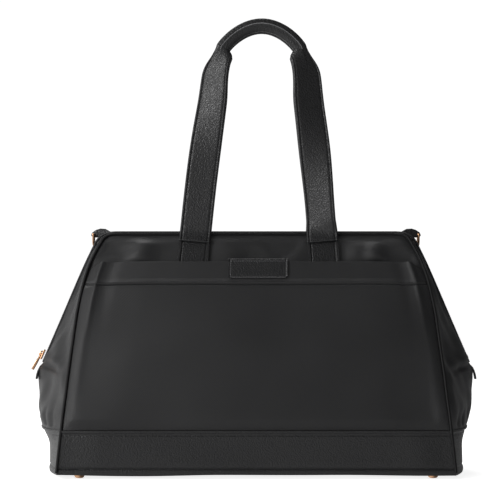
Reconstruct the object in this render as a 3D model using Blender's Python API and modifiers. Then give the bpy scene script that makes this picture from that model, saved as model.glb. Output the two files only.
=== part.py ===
"""A framed-mouth weekender bag: nylon panels, leather trim, two strap handles and a zipped mouth.

Metres, +Z up, front towards -Y. z = 0 is the surface that the four feet stand on.
"""

import math

import bmesh
import bpy
from mathutils import Matrix, Vector

# Overall form
BODY_HEIGHT = 0.2755
BASE_HEIGHT = 0.006
BAND_TOP = 0.054
FOLD_HEIGHT = 0.123
BASE_HALF_WIDTH = 0.2222
TOP_HALF_WIDTH = 0.1680
BAND_HALF_WIDTH = BASE_HALF_WIDTH + 0.0140
FOLD_HALF_WIDTH = BASE_HALF_WIDTH + 0.0260
BASE_HALF_DEPTH = 0.105
TOP_HALF_DEPTH = 0.011
RIDGE_PAST_TOP = 0.0133
TAPER_SHARE = 0.53
CORNER_ROUNDING = 8
SWELL_START = 0.6 * BAND_TOP
SWELL_END = 0.7 * FOLD_HEIGHT
BAND_ROUNDNESS = 2.0
FOLD_CRISPNESS = 0.9

# Sheet goods
GAP = 0.0003
NYLON = 0.0015
LEATHER = 0.0020
LINING = 0.0008
LINING_SETBACK = 0.0030
LINING_DROP = 0.008
LINING_MARGIN = 0.006
LINING_HEM = 0.004
LINING_SIDE_MARGIN = 0.008
INNER_POCKET_WIDTH = 0.200
INNER_POCKET_LIFT = 0.006
PIPING_RADIUS = 0.0016
MOUTH_ANGLE = math.radians(60)
FOLD_CLEARANCE = 0.0008
FOLD_END_SHARE = 1.6
PIPING_TRIM_BELOW = 0.0012
PIPING_TRIM_ABOVE = 0.0010
PIPING_TOP_DROP = 0.0025

# Front pocket and patch
POCKET_TOP = BODY_HEIGHT - 0.0365
POCKET_STAND_OFF = 0.0032
POCKET_EASE = 0.6
POCKET_FOLD_CLEARANCE = 0.001
PATCH_WIDTH = 0.068
PATCH_HEIGHT = 0.020
PATCH_OFFSET = 0.002
PATCH_WRAP = 0.0025
PATCH_THICKNESS = 0.0015

# Handles
STRAP_WIDTH = 0.0354
STRAP_THICKNESS = 0.0036
GRIP_DEPTH = 0.0156
GRIP_THICKNESS = 0.009
HANDLE_SHIFT = 0.003
HANDLE_LEAN = 0.0035
HANDLE_FOOT = BODY_HEIGHT - 0.0045
HANDLE_STAND_OFF = 0.0024
HANDLE_APEX = BODY_HEIGHT + 0.2365
HANDLE_HALF_SPREAD = 0.0785
STRAP_START = HANDLE_FOOT + 0.001
STRAP_EDGE = 0.0008
STRAP_LEAN_SHARE = 0.62
GRIP_FLARE = 0.030
GRIP_HALF_SPREAD = 0.0435
GRIP_FOOT = HANDLE_APEX - 0.0253
GRIP_START = (-GRIP_HALF_SPREAD, GRIP_FOOT)
GRIP_PULLS = ((0.0065 - GRIP_HALF_SPREAD, HANDLE_APEX - 0.0153), (0.0235 - GRIP_HALF_SPREAD, HANDLE_APEX))
FACING_FOOT = POCKET_TOP - 0.043
FACING_HEAD = HANDLE_FOOT - 0.0037
FACING_THICKNESS = 0.0025
FACING_SKIVED = 0.0010
FACING_SKIVE = 0.005

# Zip
ZIP_HALF_TAPE = 0.0090
ZIP_HALF_TEETH = 0.0018
ZIP_TOP = BODY_HEIGHT - 0.0015
ZIP_START = FOLD_HEIGHT + 0.0055
ZIP_CORNER = BODY_HEIGHT - 0.019
ZIP_CORNER_REACH = 0.008
TAPE_THICKNESS = 0.0008
TEETH_THICKNESS = 0.0016
COIL_PROUD = 0.0004
SLIDER_HEIGHT = FOLD_HEIGHT + 0.011
SLIDER_LENGTH = 0.0120
SLIDER_WIDTH = 0.0085
SLIDER_THICKNESS = 0.0022
SLIDER_EDGE = 0.0007
BRIDGE_RADIUS = 0.0008
BRIDGE_SPAN = 0.0032
BRIDGE_SQUARENESS = 0.7
EYE_RADIUS = 0.00065
EYE_HALF_WIDTH = 0.0022
EYE_LENGTH = 0.0062
PULL_LENGTH = 0.0215
PULL_WIDTH = 0.0062
PULL_THICKNESS = 0.0024
PULL_SWING = math.radians(29)
END_TAB_WIDTH = 0.018
END_TAB_LENGTH = 0.013
END_TAB_THICKNESS = 0.0028
END_TAB_EDGE = 0.001
END_TAB_DROP = 0.004
END_TAB_STAND_OFF = 0.0006

# Mouth frame
WIRE_RADIUS = 0.0022
WIRE_SETBACK = 0.0095
WIRE_TOP = BODY_HEIGHT - 0.0095
WIRE_BEND = 0.018
WIRE_STEP_IN = 0.002
WIRE_EYE_RISE = 0.008
RIVET_RADIUS = 0.0030
RIVET_LENGTH = 0.0100
RIVET_CLEARANCE = 0.0022
WIRE_OFFSET = RIVET_RADIUS + WIRE_RADIUS + GAP

# Base
BOARD_THICKNESS = 0.0030
BOARD_INSET = 0.0055
BASE_THICKNESS = 0.0020
FOOT_RADIUS = 0.0058
FOOT_X = BASE_HALF_WIDTH - 0.0247
FOOT_Y = BASE_HALF_DEPTH - 0.019
FOOT_NECK_RADIUS = 0.55 * FOOT_RADIUS
FOOT_FLAT_RADIUS = 0.45 * FOOT_RADIUS
FOOT_NECK_LENGTH = 0.0006
FOOT_RIM = 0.0012
FOOT_PRONG_RADIUS = 0.0018
PRONG_RIVETING = 0.0014
PRONG_TOP = BASE_HEIGHT + BASE_THICKNESS + GAP + BOARD_THICKNESS + PRONG_RIVETING
DRILL_LENGTH = 0.04

# Loops and rings for a shoulder strap
LOOP_Y = TOP_HALF_DEPTH + 0.0025
LOOP_WIDTH = 0.0110
LOOP_THICKNESS = 0.0016
LOOP_SEAT = 0.007
RING_WIRE = 0.0013
RING_HALF_WIDTH = 0.0085
RING_DROP = 0.0125
RING_SQUARENESS = 0.8
RING_STAND_OFF = 0.0050
RING_Z = BODY_HEIGHT - 0.0025

RIDGE_LEAN = (FOLD_HALF_WIDTH - TOP_HALF_WIDTH - RIDGE_PAST_TOP) / (BODY_HEIGHT - FOLD_HEIGHT)
DEPTH_SLOPE = (BASE_HALF_DEPTH - TOP_HALF_DEPTH) / (BODY_HEIGHT - BAND_TOP)
PANEL_ANGLE = math.atan(DEPTH_SLOPE)
SEAM = PIPING_RADIUS + GAP

for leftover in list(bpy.data.objects):
    bpy.data.objects.remove(leftover)

parts = bpy.data.collections.new("weekender_bag")
cutters = bpy.data.collections.new("cutters")
cutters.hide_render = True
for group in (parts, cutters):
    bpy.context.scene.collection.children.link(group)


def finish(name, colour, roughness, metallic=0.0):
    material = bpy.data.materials.new(name)
    material.use_nodes = True
    shader = material.node_tree.nodes["Principled BSDF"]
    shader.inputs["Base Color"].default_value = (*colour, 1)
    shader.inputs["Roughness"].default_value = roughness
    shader.inputs["Metallic"].default_value = metallic
    return material


NYLON_FINISH = ("satin_nylon", (0.020, 0.020, 0.021), 0.55)
LEATHER_FINISH = ("pebbled_leather", (0.014, 0.014, 0.015), 0.45)
LINING_FINISH = ("twill_lining", (0.045, 0.045, 0.048), 0.8)
BRASS_FINISH = ("rose_brass", (0.72, 0.45, 0.27), 0.25, 1.0)
STEEL_FINISH = ("frame_steel", (0.45, 0.45, 0.46), 0.35, 1.0)
TAPE_FINISH = ("zip_tape", (0.012, 0.012, 0.013), 0.7)
TEETH_FINISH = ("zip_coil", (0.016, 0.016, 0.017), 0.4)
BOARD_FINISH = ("stiffening_board", (0.10, 0.10, 0.10), 0.6)


def place(name, mesh, surface):
    """A named object of the bag with its own material."""
    obj = bpy.data.objects.new(name, mesh)
    mesh.materials.append(finish(name + "_" + surface[0], *surface[1:]))
    parts.objects.link(obj)
    return obj


def mesh_from(bm, name):
    mesh = bpy.data.meshes.new(name)
    bm.to_mesh(mesh)
    bm.free()
    return mesh


# ---- The bag's outer form ----------------------------------------------------------------------


def half_depth(z):
    """The front panel's distance from the middle plane."""
    return BASE_HALF_DEPTH - DEPTH_SLOPE * max(0.0, z - BAND_TOP)


def corner_x(z):
    """Half the width between the two corner pipings: a steady taper that rounds in at the top."""
    h = z / BODY_HEIGHT
    taper = BASE_HALF_WIDTH - TOP_HALF_WIDTH
    return BASE_HALF_WIDTH - taper * (TAPER_SHARE * h + (1 - TAPER_SHARE) * h**CORNER_ROUNDING)


def smooth(t):
    t = min(1.0, max(0.0, t))
    return t * t * (3 - 2 * t)


def ridge_x(z):
    """Half the width at the gusset's ridge: out from the band to the fold, then straight up and in."""
    if z <= FOLD_HEIGHT:
        swell = smooth((z - SWELL_START) / (SWELL_END - SWELL_START))
        return BAND_HALF_WIDTH + (FOLD_HALF_WIDTH - BAND_HALF_WIDTH) * swell
    return FOLD_HALF_WIDTH - RIDGE_LEAN * (z - FOLD_HEIGHT)


def gusset_x(z, y):
    """The gusset's surface between corner and ridge: rounded at the band, a crisp fold above it."""
    toward = 1 - abs(y) / half_depth(z)
    rise = smooth((z - BASE_HEIGHT) / (FOLD_HEIGHT - BASE_HEIGHT))
    roundness = BAND_ROUNDNESS - FOLD_CRISPNESS * rise
    share = 1 - (1 - toward) ** roundness
    return corner_x(z) + (ridge_x(z) - corner_x(z)) * share


def panel_mouth_height():
    """The height at which the front panel meets the plane that the jaw's cloth turns from."""
    depth_at_zero = BASE_HALF_DEPTH + DEPTH_SLOPE * BAND_TOP
    t = math.tan(MOUTH_ANGLE)
    return (depth_at_zero + t * FOLD_HEIGHT) / (t + DEPTH_SLOPE)


def gusset_mouth_height(toward):
    """The same on the gusset, at this share of the way from corner to ridge."""
    depth_at_zero = BASE_HALF_DEPTH + DEPTH_SLOPE * BAND_TOP
    t = math.tan(MOUTH_ANGLE)
    return (depth_at_zero * (1 - toward) + t * FOLD_HEIGHT) / (t + DEPTH_SLOPE * (1 - toward))


def panel_point(x, z, side, off=0.0):
    """A point on the front (side -1) or back (side 1) panel, moved off it along its normal."""
    lean = PANEL_ANGLE if z > BAND_TOP else 0.0
    y = half_depth(z) + off * math.cos(lean)
    return Vector((x, side * y, z + off * math.sin(lean)))


# ---- Makers -------------------------------------------------------------------------------------


def sheet(name, point, columns, rows, thickness, surface, outward):
    """A sheet of cloth: a grid laid on point(u, v), with its thickness on the inner side."""
    bm = bmesh.new()
    bmesh.ops.create_grid(bm, x_segments=columns, y_segments=rows, size=0.5)
    for vert in bm.verts:
        vert.co = point(vert.co.x + 0.5, vert.co.y + 0.5)
    bm.normal_update()
    facing = sum(face.normal.dot(Vector(outward(face.calc_center_median()))) for face in bm.faces)
    if facing < 0:
        bmesh.ops.reverse_faces(bm, faces=bm.faces)
    obj = place(name, mesh_from(bm, name), surface)
    wall = obj.modifiers.new("thickness", "SOLIDIFY")
    wall.thickness = thickness
    wall.offset = -1
    wall.use_even_offset = True
    return obj


def away_from_middle(centre):
    return (centre.x, 0, 0)


def side_facing(side):
    return lambda centre: (0, side, 0)


def curve_mesh(name, points, radius, cyclic=False, resolution=2):
    """The mesh of a round tube along points."""
    curve = bpy.data.curves.new(name, "CURVE")
    curve.dimensions = "3D"
    curve.bevel_depth = radius
    curve.bevel_resolution = resolution
    curve.use_fill_caps = not cyclic
    spline = curve.splines.new("POLY")
    spline.points.add(len(points) - 1)
    spline.use_cyclic_u = cyclic
    for knot, point in zip(spline.points, points):
        knot.co = (*point, 1)
    guide = bpy.data.objects.new(name + "_guide", curve)
    bpy.context.scene.collection.objects.link(guide)
    evaluated = guide.evaluated_get(bpy.context.evaluated_depsgraph_get())
    mesh = bpy.data.meshes.new_from_object(evaluated)
    bpy.data.objects.remove(guide)
    bm = bmesh.new()
    bm.from_mesh(mesh)
    bmesh.ops.remove_doubles(bm, verts=bm.verts, dist=1e-6)
    bmesh.ops.recalc_face_normals(bm, faces=bm.faces)
    bm.to_mesh(mesh)
    bm.free()
    mesh.shade_smooth()
    mesh.set_sharp_from_angle(angle=math.radians(50))
    return mesh


def tube(name, points, radius, surface, cyclic=False, resolution=2):
    mesh = curve_mesh(name, points, radius, cyclic, resolution)
    mesh.materials.clear()
    return place(name, mesh, surface)


def box_mesh(name, size, bevel=0.0, segments=2):
    bm = bmesh.new()
    bmesh.ops.create_cube(bm, size=1)
    bmesh.ops.scale(bm, vec=size, verts=bm.verts)
    if bevel:
        bmesh.ops.bevel(
            bm, geom=bm.edges, offset=bevel, segments=segments, profile=0.5, affect="EDGES"
        )
    return mesh_from(bm, name)


def loft(name, rings, surface):
    """A closed solid through rings of corresponding points."""
    bm = bmesh.new()
    loops = [[bm.verts.new(point) for point in ring] for ring in rings]
    for lower, upper in zip(loops, loops[1:]):
        for i in range(len(lower)):
            j = (i + 1) % len(lower)
            bm.faces.new((lower[i], lower[j], upper[j], upper[i]))
    bm.faces.new(loops[0])
    bm.faces.new(loops[-1])
    bmesh.ops.recalc_face_normals(bm, faces=bm.faces)
    return place(name, mesh_from(bm, name), surface)


# ---- Base: leather band, bottom panel, board and feet -------------------------------------------


def base_outline(inset, height):
    """The bag's outline at this height, drawn in by inset, as points round it."""
    depth = half_depth(height) - inset
    steps = 10
    side = []
    for i in range(steps + 1):
        y = -depth + 2 * depth * i / steps
        side.append((gusset_x(height, y * half_depth(height) / depth) - inset, y))
    return side + [(-x, -y) for x, y in side]


def plate(name, outline, bottom, thickness, surface):
    bm = bmesh.new()
    face = bm.faces.new([bm.verts.new((x, y, bottom)) for x, y in outline])
    top = bmesh.ops.extrude_face_region(bm, geom=[face])["geom"]
    lift = [item for item in top if isinstance(item, bmesh.types.BMVert)]
    bmesh.ops.translate(bm, vec=(0, 0, thickness), verts=lift)
    bmesh.ops.recalc_face_normals(bm, faces=bm.faces)
    return place(name, mesh_from(bm, name), surface)


def make_base():
    outline = base_outline(LEATHER + GAP, BASE_HEIGHT)
    plate("bottom_panel", outline, BASE_HEIGHT, BASE_THICKNESS, LEATHER_FINISH)
    outline = base_outline(BOARD_INSET, BASE_HEIGHT)
    board_z = BASE_HEIGHT + BASE_THICKNESS + GAP
    plate("base_board", outline, board_z, BOARD_THICKNESS, BOARD_FINISH)
    for side, word in ((-1, "front"), (1, "back")):
        sheet(
            f"base_band_{word}",
            lambda u, v, s=side: panel_point(
                (2 * u - 1) * (corner_x(BASE_HEIGHT + v * (BAND_TOP - BASE_HEIGHT)) - SEAM),
                BASE_HEIGHT + v * (BAND_TOP - GAP - BASE_HEIGHT),
                s,
            ),
            8, 2, LEATHER, LEATHER_FINISH, side_facing(side),
        )
    for side, word in ((-1, "left"), (1, "right")):
        sheet(
            f"base_band_{word}",
            lambda u, v, s=side: gusset_point(u, BASE_HEIGHT + v * (BAND_TOP - GAP - BASE_HEIGHT), s),
            14, 3, LEATHER, LEATHER_FINISH, away_from_middle,
        )


def gusset_point(u, z, side):
    """A point on the whole gusset, from the front seam to the back seam."""
    y = (2 * u - 1) * (half_depth(z) - SEAM)
    return Vector((side * gusset_x(z, y), y, z))


def make_foot(name, x, y):
    """A domed stud on a short neck, whose prong passes through the bottom panel and the board."""
    head = BASE_HEIGHT - GAP
    profile = [(0.0, PRONG_TOP), (FOOT_PRONG_RADIUS, PRONG_TOP), (FOOT_PRONG_RADIUS, head)]
    profile += [(FOOT_NECK_RADIUS, head), (FOOT_NECK_RADIUS, head - FOOT_NECK_LENGTH)]
    dome = FOOT_RADIUS - FOOT_FLAT_RADIUS
    profile += [
        (FOOT_FLAT_RADIUS + dome * math.cos(a), (head - FOOT_RIM) * (1 - math.sin(a)))
        for a in (math.radians(d) for d in range(0, 91, 18))
    ]
    profile.append((0.0, 0.0))
    bm = bmesh.new()
    verts = [bm.verts.new((r, 0, z)) for r, z in profile]
    for a, b in zip(verts, verts[1:]):
        bm.edges.new((a, b))
    obj = place(name, mesh_from(bm, name), BRASS_FINISH)
    turn = obj.modifiers.new("turned", "SCREW")
    turn.steps = 16
    turn.render_steps = 16
    turn.use_merge_vertices = True
    turn.merge_threshold = 1e-5
    turn.use_normal_calculate = True
    obj.location = (x, y, 0)
    return obj


def drill(target, name, x, y):
    """Cuts a round hole through a plate for a foot's prong."""
    radius = FOOT_PRONG_RADIUS + GAP
    bm = bmesh.new()
    bmesh.ops.create_cone(
        bm, cap_ends=True, segments=16, radius1=radius, radius2=radius, depth=DRILL_LENGTH
    )
    cutter = bpy.data.objects.new(name, mesh_from(bm, name))
    cutter.location = (x, y, BASE_HEIGHT)
    cutter.display_type = "WIRE"
    cutter.hide_render = True
    cutters.objects.link(cutter)
    hole = target.modifiers.new(name, "BOOLEAN")
    hole.operation = "DIFFERENCE"
    hole.solver = "EXACT"
    hole.object = cutter


def make_feet():
    for word_y, sy in (("front", -1), ("back", 1)):
        for word_x, sx in (("left", -1), ("right", 1)):
            x, y = sx * FOOT_X, sy * FOOT_Y
            make_foot(f"foot_{word_y}_{word_x}", x, y)
            for plate_name in ("bottom_panel", "base_board"):
                hole = f"prong_hole_{plate_name}_{word_y}_{word_x}"
                drill(parts.objects[plate_name], hole, x, y)


# ---- Body cloth: lower walls, the folds of the mouth, and the two jaws --------------------------


def between(low, high, v):
    return low + (high - low) * v


def panel_patch(x_share, low, high, side, off=0.0):
    """A mapping of a stretch of the front or back panel between two heights."""

    def point(u, v):
        z = between(low, high, v)
        return panel_point((2 * u - 1) * (corner_x(z) - SEAM) * x_share, z, side, off)

    return point


def make_lower_walls():
    low, high = BAND_TOP + GAP, FOLD_HEIGHT - GAP / 2
    for side, word in ((-1, "front"), (1, "back")):
        sheet(
            f"{word}_panel_lower", panel_patch(1, low, high, side), 10, 4,
            NYLON, NYLON_FINISH, side_facing(side),
        )
    for side, word in ((-1, "left"), (1, "right")):
        sheet(
            f"{word}_gusset_lower",
            lambda u, v, s=side: gusset_point(u, between(low, high, v), s),
            18, 6, NYLON, NYLON_FINISH, away_from_middle,
        )


def half_gusset_point(u, v, x_side, y_side, low_gap, top, inner):
    """A point on one half of a gusset above the fold, from its seam (u = 0) to inner, its least |y|."""
    toward_end = 1 - inner / half_depth(FOLD_HEIGHT)
    low = gusset_mouth_height(u * toward_end) + low_gap
    z = between(low, top, v)
    outer = half_depth(z) - SEAM
    reach = max(outer - inner, 0.0)
    y = inner + reach * (1 - u)
    return Vector((x_side * gusset_x(z, y), y_side * y, z))


def make_jaw_cloth(side, word):
    mouth = panel_mouth_height()
    sheet(
        f"{word}_panel_upper", panel_patch(1, mouth + GAP / 2, BODY_HEIGHT, side), 12, 8,
        NYLON, NYLON_FINISH, side_facing(side),
    )
    inner = ZIP_HALF_TAPE + GAP
    for x_side, hand in ((-1, "left"), (1, "right")):
        sheet(
            f"{word}_gusset_upper_{hand}",
            lambda u, v, s=x_side: half_gusset_point(u, v, s, side, FOLD_CLEARANCE, ZIP_CORNER, inner),
            8, 10, NYLON, NYLON_FINISH, away_from_middle,
        )
    make_fold(side, word, mouth, inner)


def make_fold(side, word, mouth, inner):
    """The strip of cloth that flexes when the mouth opens, from one gusset's ridge round to the other's."""
    toward_end = 1 - FOLD_END_SHARE * inner / half_depth(FOLD_HEIGHT)
    gusset_columns, panel_columns = 6, 10
    columns = 2 * gusset_columns + panel_columns

    def point(u, v):
        column = round(u * columns)
        low = FOLD_HEIGHT + FOLD_CLEARANCE
        if gusset_columns <= column <= columns - gusset_columns:
            z = between(low, mouth - GAP / 2, v)
            share = (column - gusset_columns) / panel_columns
            return panel_point((2 * share - 1) * corner_x(z), z, side)
        from_end = min(column, columns - column) / gusset_columns
        toward = toward_end * (1 - from_end)
        z = between(low, gusset_mouth_height(toward) - GAP / 2, v)
        y = half_depth(z) * (1 - toward)
        hand = -1 if column < gusset_columns else 1
        return Vector((hand * gusset_x(z, y), side * y, z))

    sheet(
        f"{word}_mouth_fold", point, columns, 2, NYLON, NYLON_FINISH,
        lambda centre: (centre.x / 20, side, 0),
    )


def make_piping(side, word):
    """Leather piping on the corner seams, in two lengths that part at the fold of the mouth."""
    foot, fold = BASE_HEIGHT + PIPING_RADIUS, FOLD_HEIGHT - PIPING_TRIM_BELOW
    mouth, top = panel_mouth_height() + PIPING_TRIM_ABOVE, BODY_HEIGHT - PIPING_TOP_DROP
    lower = [between(foot, BAND_TOP, i / 3) for i in range(3)]
    lower += [between(BAND_TOP, fold, i / 5) for i in range(6)]
    upper = [between(mouth, top, i / 14) for i in range(15)]
    for x_side, hand in ((-1, "left"), (1, "right")):
        for stretch, heights in (("lower", lower), ("upper", upper)):
            points = [(x_side * corner_x(z), side * half_depth(z), z) for z in heights]
            tube(f"{word}_piping_{hand}_{stretch}", points, PIPING_RADIUS, LEATHER_FINISH)


# ---- Front pocket and patch ---------------------------------------------------------------------


def pocket_off(z):
    """The pocket lies on the panel at the band and stands off it at its open edge."""
    share = smooth((z - BAND_TOP) / (POCKET_EASE * (POCKET_TOP - BAND_TOP)))
    return NYLON + GAP + (POCKET_STAND_OFF - GAP) * share


def pocket_patch(low, high):
    def point(u, v):
        z = between(low, high, v)
        return panel_point((2 * u - 1) * (corner_x(z) - SEAM), z, -1, pocket_off(z))

    return point


def make_pocket():
    mouth = panel_mouth_height()
    stretches = (
        ("front_pocket_lower", BAND_TOP + GAP, FOLD_HEIGHT - GAP / 2, 4),
        ("front_pocket_fold", FOLD_HEIGHT + GAP / 2, mouth - POCKET_FOLD_CLEARANCE, 2),
        ("front_pocket_upper", mouth + GAP / 2, POCKET_TOP, 5),
    )
    for name, low, high, rows in stretches:
        sheet(name, pocket_patch(low, high), 10, rows, NYLON, NYLON_FINISH, side_facing(-1))

    def patch(u, v):
        z = POCKET_TOP + PATCH_WRAP - PATCH_HEIGHT * (1 - v)
        x = PATCH_OFFSET + (u - 0.5) * PATCH_WIDTH
        return panel_point(x, z, -1, pocket_off(POCKET_TOP) + GAP + PATCH_THICKNESS)

    sheet("leather_patch", patch, 4, 2, PATCH_THICKNESS, LEATHER_FINISH, side_facing(-1))


# ---- Handles ------------------------------------------------------------------------------------


def strap_half(z):
    """Half the distance between the two straps of a handle, below its grip."""
    rise = (z - FACING_FOOT) / (GRIP_FOOT - FACING_FOOT)
    drawn_in = STRAP_LEAN_SHARE * rise + (1 - STRAP_LEAN_SHARE) * rise**3
    return HANDLE_HALF_SPREAD - (HANDLE_HALF_SPREAD - GRIP_HALF_SPREAD) * drawn_in


def handle_shift(z):
    return HANDLE_SHIFT + HANDLE_LEAN * (z - HANDLE_FOOT) / (HANDLE_APEX - HANDLE_FOOT)


def bezier(a, b, c, d, t):
    return [
        (1 - t) ** 3 * p + 3 * (1 - t) ** 2 * t * q + 3 * (1 - t) * t**2 * r + t**3 * s
        for p, q, r, s in zip(a, b, c, d)
    ]


def handle_path():
    """(x, z) points up the left strap, over the grip and down the right strap, with section sizes."""
    straps, grip = 14, 8
    left = []
    for i in range(straps + 1):
        z = between(STRAP_START, GRIP_FOOT, i / straps)
        left.append((-strap_half(z), z))
    for i in range(1, grip + 1):
        left.append(tuple(bezier(GRIP_START, *GRIP_PULLS, (0.0, HANDLE_APEX), i / grip)))
    return left + [(-x, z) for x, z in reversed(left[:-1])]


def strap_section(z):
    """Half width and half thickness: the strap is folded in half above the grip's start."""
    folded = smooth((z - GRIP_FOOT + GRIP_FLARE) / GRIP_FLARE)
    return (
        between(STRAP_WIDTH, GRIP_DEPTH, folded) / 2,
        between(STRAP_THICKNESS, GRIP_THICKNESS, folded) / 2,
    )


def make_handle(side, word):
    path = handle_path()
    seat = side * (half_depth(HANDLE_FOOT) + HANDLE_STAND_OFF)
    rings = []
    for i, (x, z) in enumerate(path):
        before, after = path[max(i - 1, 0)], path[min(i + 1, len(path) - 1)]
        along = Vector((after[0] - before[0], after[1] - before[1])).normalized()
        if i in (0, len(path) - 1):
            along = Vector((0, 1 if i == 0 else -1))
        across = Vector((-along.y, along.x))
        half, thick = strap_section(z)
        flat, wall = half - STRAP_EDGE, thick - STRAP_EDGE
        section = [(half, wall), (flat, thick), (-flat, thick), (-half, wall)]
        section += [(-a, -b) for a, b in section]
        at = Vector((x + handle_shift(z), seat, z))
        rings.append([at + Vector((across.x * a, b, across.y * a)) for a, b in section])
    loft(f"{word}_handle", rings, LEATHER_FINISH)


def make_facings(side, word):
    """The leather behind each strap's foot, skived at its head so that the strap can turn over it."""
    steps = 9
    skive_foot = FACING_HEAD - FACING_SKIVE
    heights = [between(FACING_FOOT, skive_foot, i / (steps - 1)) for i in range(steps)]
    heights.append(FACING_HEAD)
    for x_side, hand in ((-1, "left"), (1, "right")):
        rings = []
        for z in heights:
            thickness = FACING_SKIVED if z > skive_foot else FACING_THICKNESS
            middle = x_side * strap_half(z) + handle_shift(z)
            left, right = middle - STRAP_WIDTH / 2, middle + STRAP_WIDTH / 2
            corners = ((left, GAP), (right, GAP), (right, GAP + thickness), (left, GAP + thickness))
            rings.append([panel_point(x, z, side, off) for x, off in corners])
        loft(f"{word}_handle_facing_{hand}", rings, LEATHER_FINISH)


# ---- Zip: tapes, coils, slider, pull and end tabs -----------------------------------------------


def ridge_path():
    """(x, z) points of the zip line: up the right ridge, over the corner, and half way along the top."""
    side = [between(ZIP_START, ZIP_CORNER, i / 12) for i in range(13)]
    points = [(ridge_x(z), z) for z in side]
    start = points[-1]
    corner = (start[0] - ZIP_CORNER_REACH, ZIP_TOP)
    end = (TOP_HALF_WIDTH - ZIP_CORNER_REACH, ZIP_TOP)
    for i in range(1, 7):
        t = i / 6
        x = (1 - t) ** 2 * start[0] + 2 * (1 - t) * t * corner[0] + t * t * end[0]
        z = (1 - t) ** 2 * start[1] + 2 * (1 - t) * t * corner[1] + t * t * end[1]
        points.append((x, z))
    return points + [(end[0] * (1 - i / 6), ZIP_TOP) for i in range(1, 7)]


def zip_strip(name, y_side, near, far, thickness, lift, surface, flat=False):
    """A strip of the zip along its whole line, between two distances from the middle plane."""
    half = ridge_path()
    path = half + [(-x, z) for x, z in reversed(half[:-1])]
    last = len(path) - 1

    def point(u, v):
        i = round(u * last)
        x, z = path[i]
        y = between(near, far, v)
        before, after = path[max(i - 1, 0)], path[min(i + 1, last)]
        along = Vector((after[0] - before[0], after[1] - before[1])).normalized()
        out = Vector((along.y, -along.x))
        on_side = 1 - smooth((z - ZIP_CORNER) / (ZIP_TOP - ZIP_CORNER))
        low = min(z, ZIP_CORNER)
        back = (ridge_x(low) - gusset_x(low, near if flat else y)) * on_side
        sink = Vector((math.copysign(back, x) if x else 0.0, 0.0))
        at = Vector((x, z)) + out * lift - sink
        return Vector((at.x, y_side * y, at.y))

    sheet(
        name, point, last, 1, thickness, surface,
        lambda centre: (centre.x * 0.2, 0, centre.z - FOLD_HEIGHT),
    )


def make_zip_half(side, word):
    zip_strip(
        f"zip_tape_{word}", side, ZIP_HALF_TEETH + 2 * GAP, ZIP_HALF_TAPE,
        TAPE_THICKNESS, 0.0, TAPE_FINISH,
    )
    zip_strip(
        f"zip_coil_{word}", side, GAP / 2, ZIP_HALF_TEETH,
        TEETH_THICKNESS, COIL_PROUD, TEETH_FINISH, flat=True,
    )


def ridge_frame(z):
    """The place of the left ridge at this height, with the directions up it and out of it."""
    up = Vector((RIDGE_LEAN, 0, 1)).normalized()
    out = Vector((-up.z, 0, up.x))
    return Vector((-ridge_x(z), 0, z)), up, out


def frame_matrix(at, up, out):
    """Local X out of the ridge, Y across it, Z up it."""
    across = up.cross(out)
    turn = Matrix((out, across, up)).transposed().to_4x4()
    return Matrix.Translation(at) @ turn


def joined(name, meshes, surface):
    """One solid made of overlapping meshes by Boolean unions."""
    base = place(name, meshes[0], surface)
    for i, mesh in enumerate(meshes[1:]):
        helper = bpy.data.objects.new(f"{name}_join_{i}", mesh)
        helper.hide_render = True
        helper.display_type = "WIRE"
        cutters.objects.link(helper)
        helper.parent = base
        union = base.modifiers.new(f"join_{i}", "BOOLEAN")
        union.operation = "UNION"
        union.solver = "EXACT"
        union.object = helper
    return base


def make_slider():
    """The slider's body on the coils, with an arched bridge that holds the pull's eye."""
    at, up, out = ridge_frame(SLIDER_HEIGHT)
    lift = COIL_PROUD + GAP + SLIDER_THICKNESS / 2
    body = box_mesh("slider_body", (SLIDER_THICKNESS, SLIDER_WIDTH, SLIDER_LENGTH), SLIDER_EDGE)
    face = SLIDER_THICKNESS / 2
    eye_height = face + GAP + EYE_RADIUS
    crown = eye_height + EYE_RADIUS + GAP + BRIDGE_RADIUS
    foot = face - BRIDGE_RADIUS
    arch = [
        (foot + (crown - foot) * math.sin(a) ** BRIDGE_SQUARENESS, 0, -BRIDGE_SPAN * math.cos(a))
        for a in (math.pi * i / 12 for i in range(13))
    ]
    bridge = curve_mesh("slider_bridge", arch, BRIDGE_RADIUS)
    bridge.materials.clear()
    slider = joined("zip_slider", [body, bridge], BRASS_FINISH)
    slider.matrix_world = frame_matrix(at + out * lift, up, out)
    return at + out * (lift + eye_height)


def make_pull(pivot):
    """A flat bar below a wire eye; the bridge passes through the eye, whose top bar is the pivot."""
    right_side = [(0, EYE_HALF_WIDTH, 0), (0, EYE_HALF_WIDTH, -EYE_LENGTH)]
    left_side = [(0, -EYE_HALF_WIDTH, -EYE_LENGTH), (0, -EYE_HALF_WIDTH, 0)]
    eye = curve_mesh("pull_eye", right_side + left_side, EYE_RADIUS, cyclic=True)
    eye.materials.clear()
    bar_length = PULL_LENGTH - EYE_LENGTH + EYE_RADIUS
    bar = box_mesh("pull_bar", (PULL_THICKNESS, PULL_WIDTH, bar_length), SLIDER_EDGE)
    for vert in bar.vertices:
        vert.co.z -= PULL_LENGTH - bar_length / 2
    pull = joined("zip_pull", [bar, eye], BRASS_FINISH)
    pull.location = pivot
    pull.rotation_euler = (0, PULL_SWING, 0)


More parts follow.
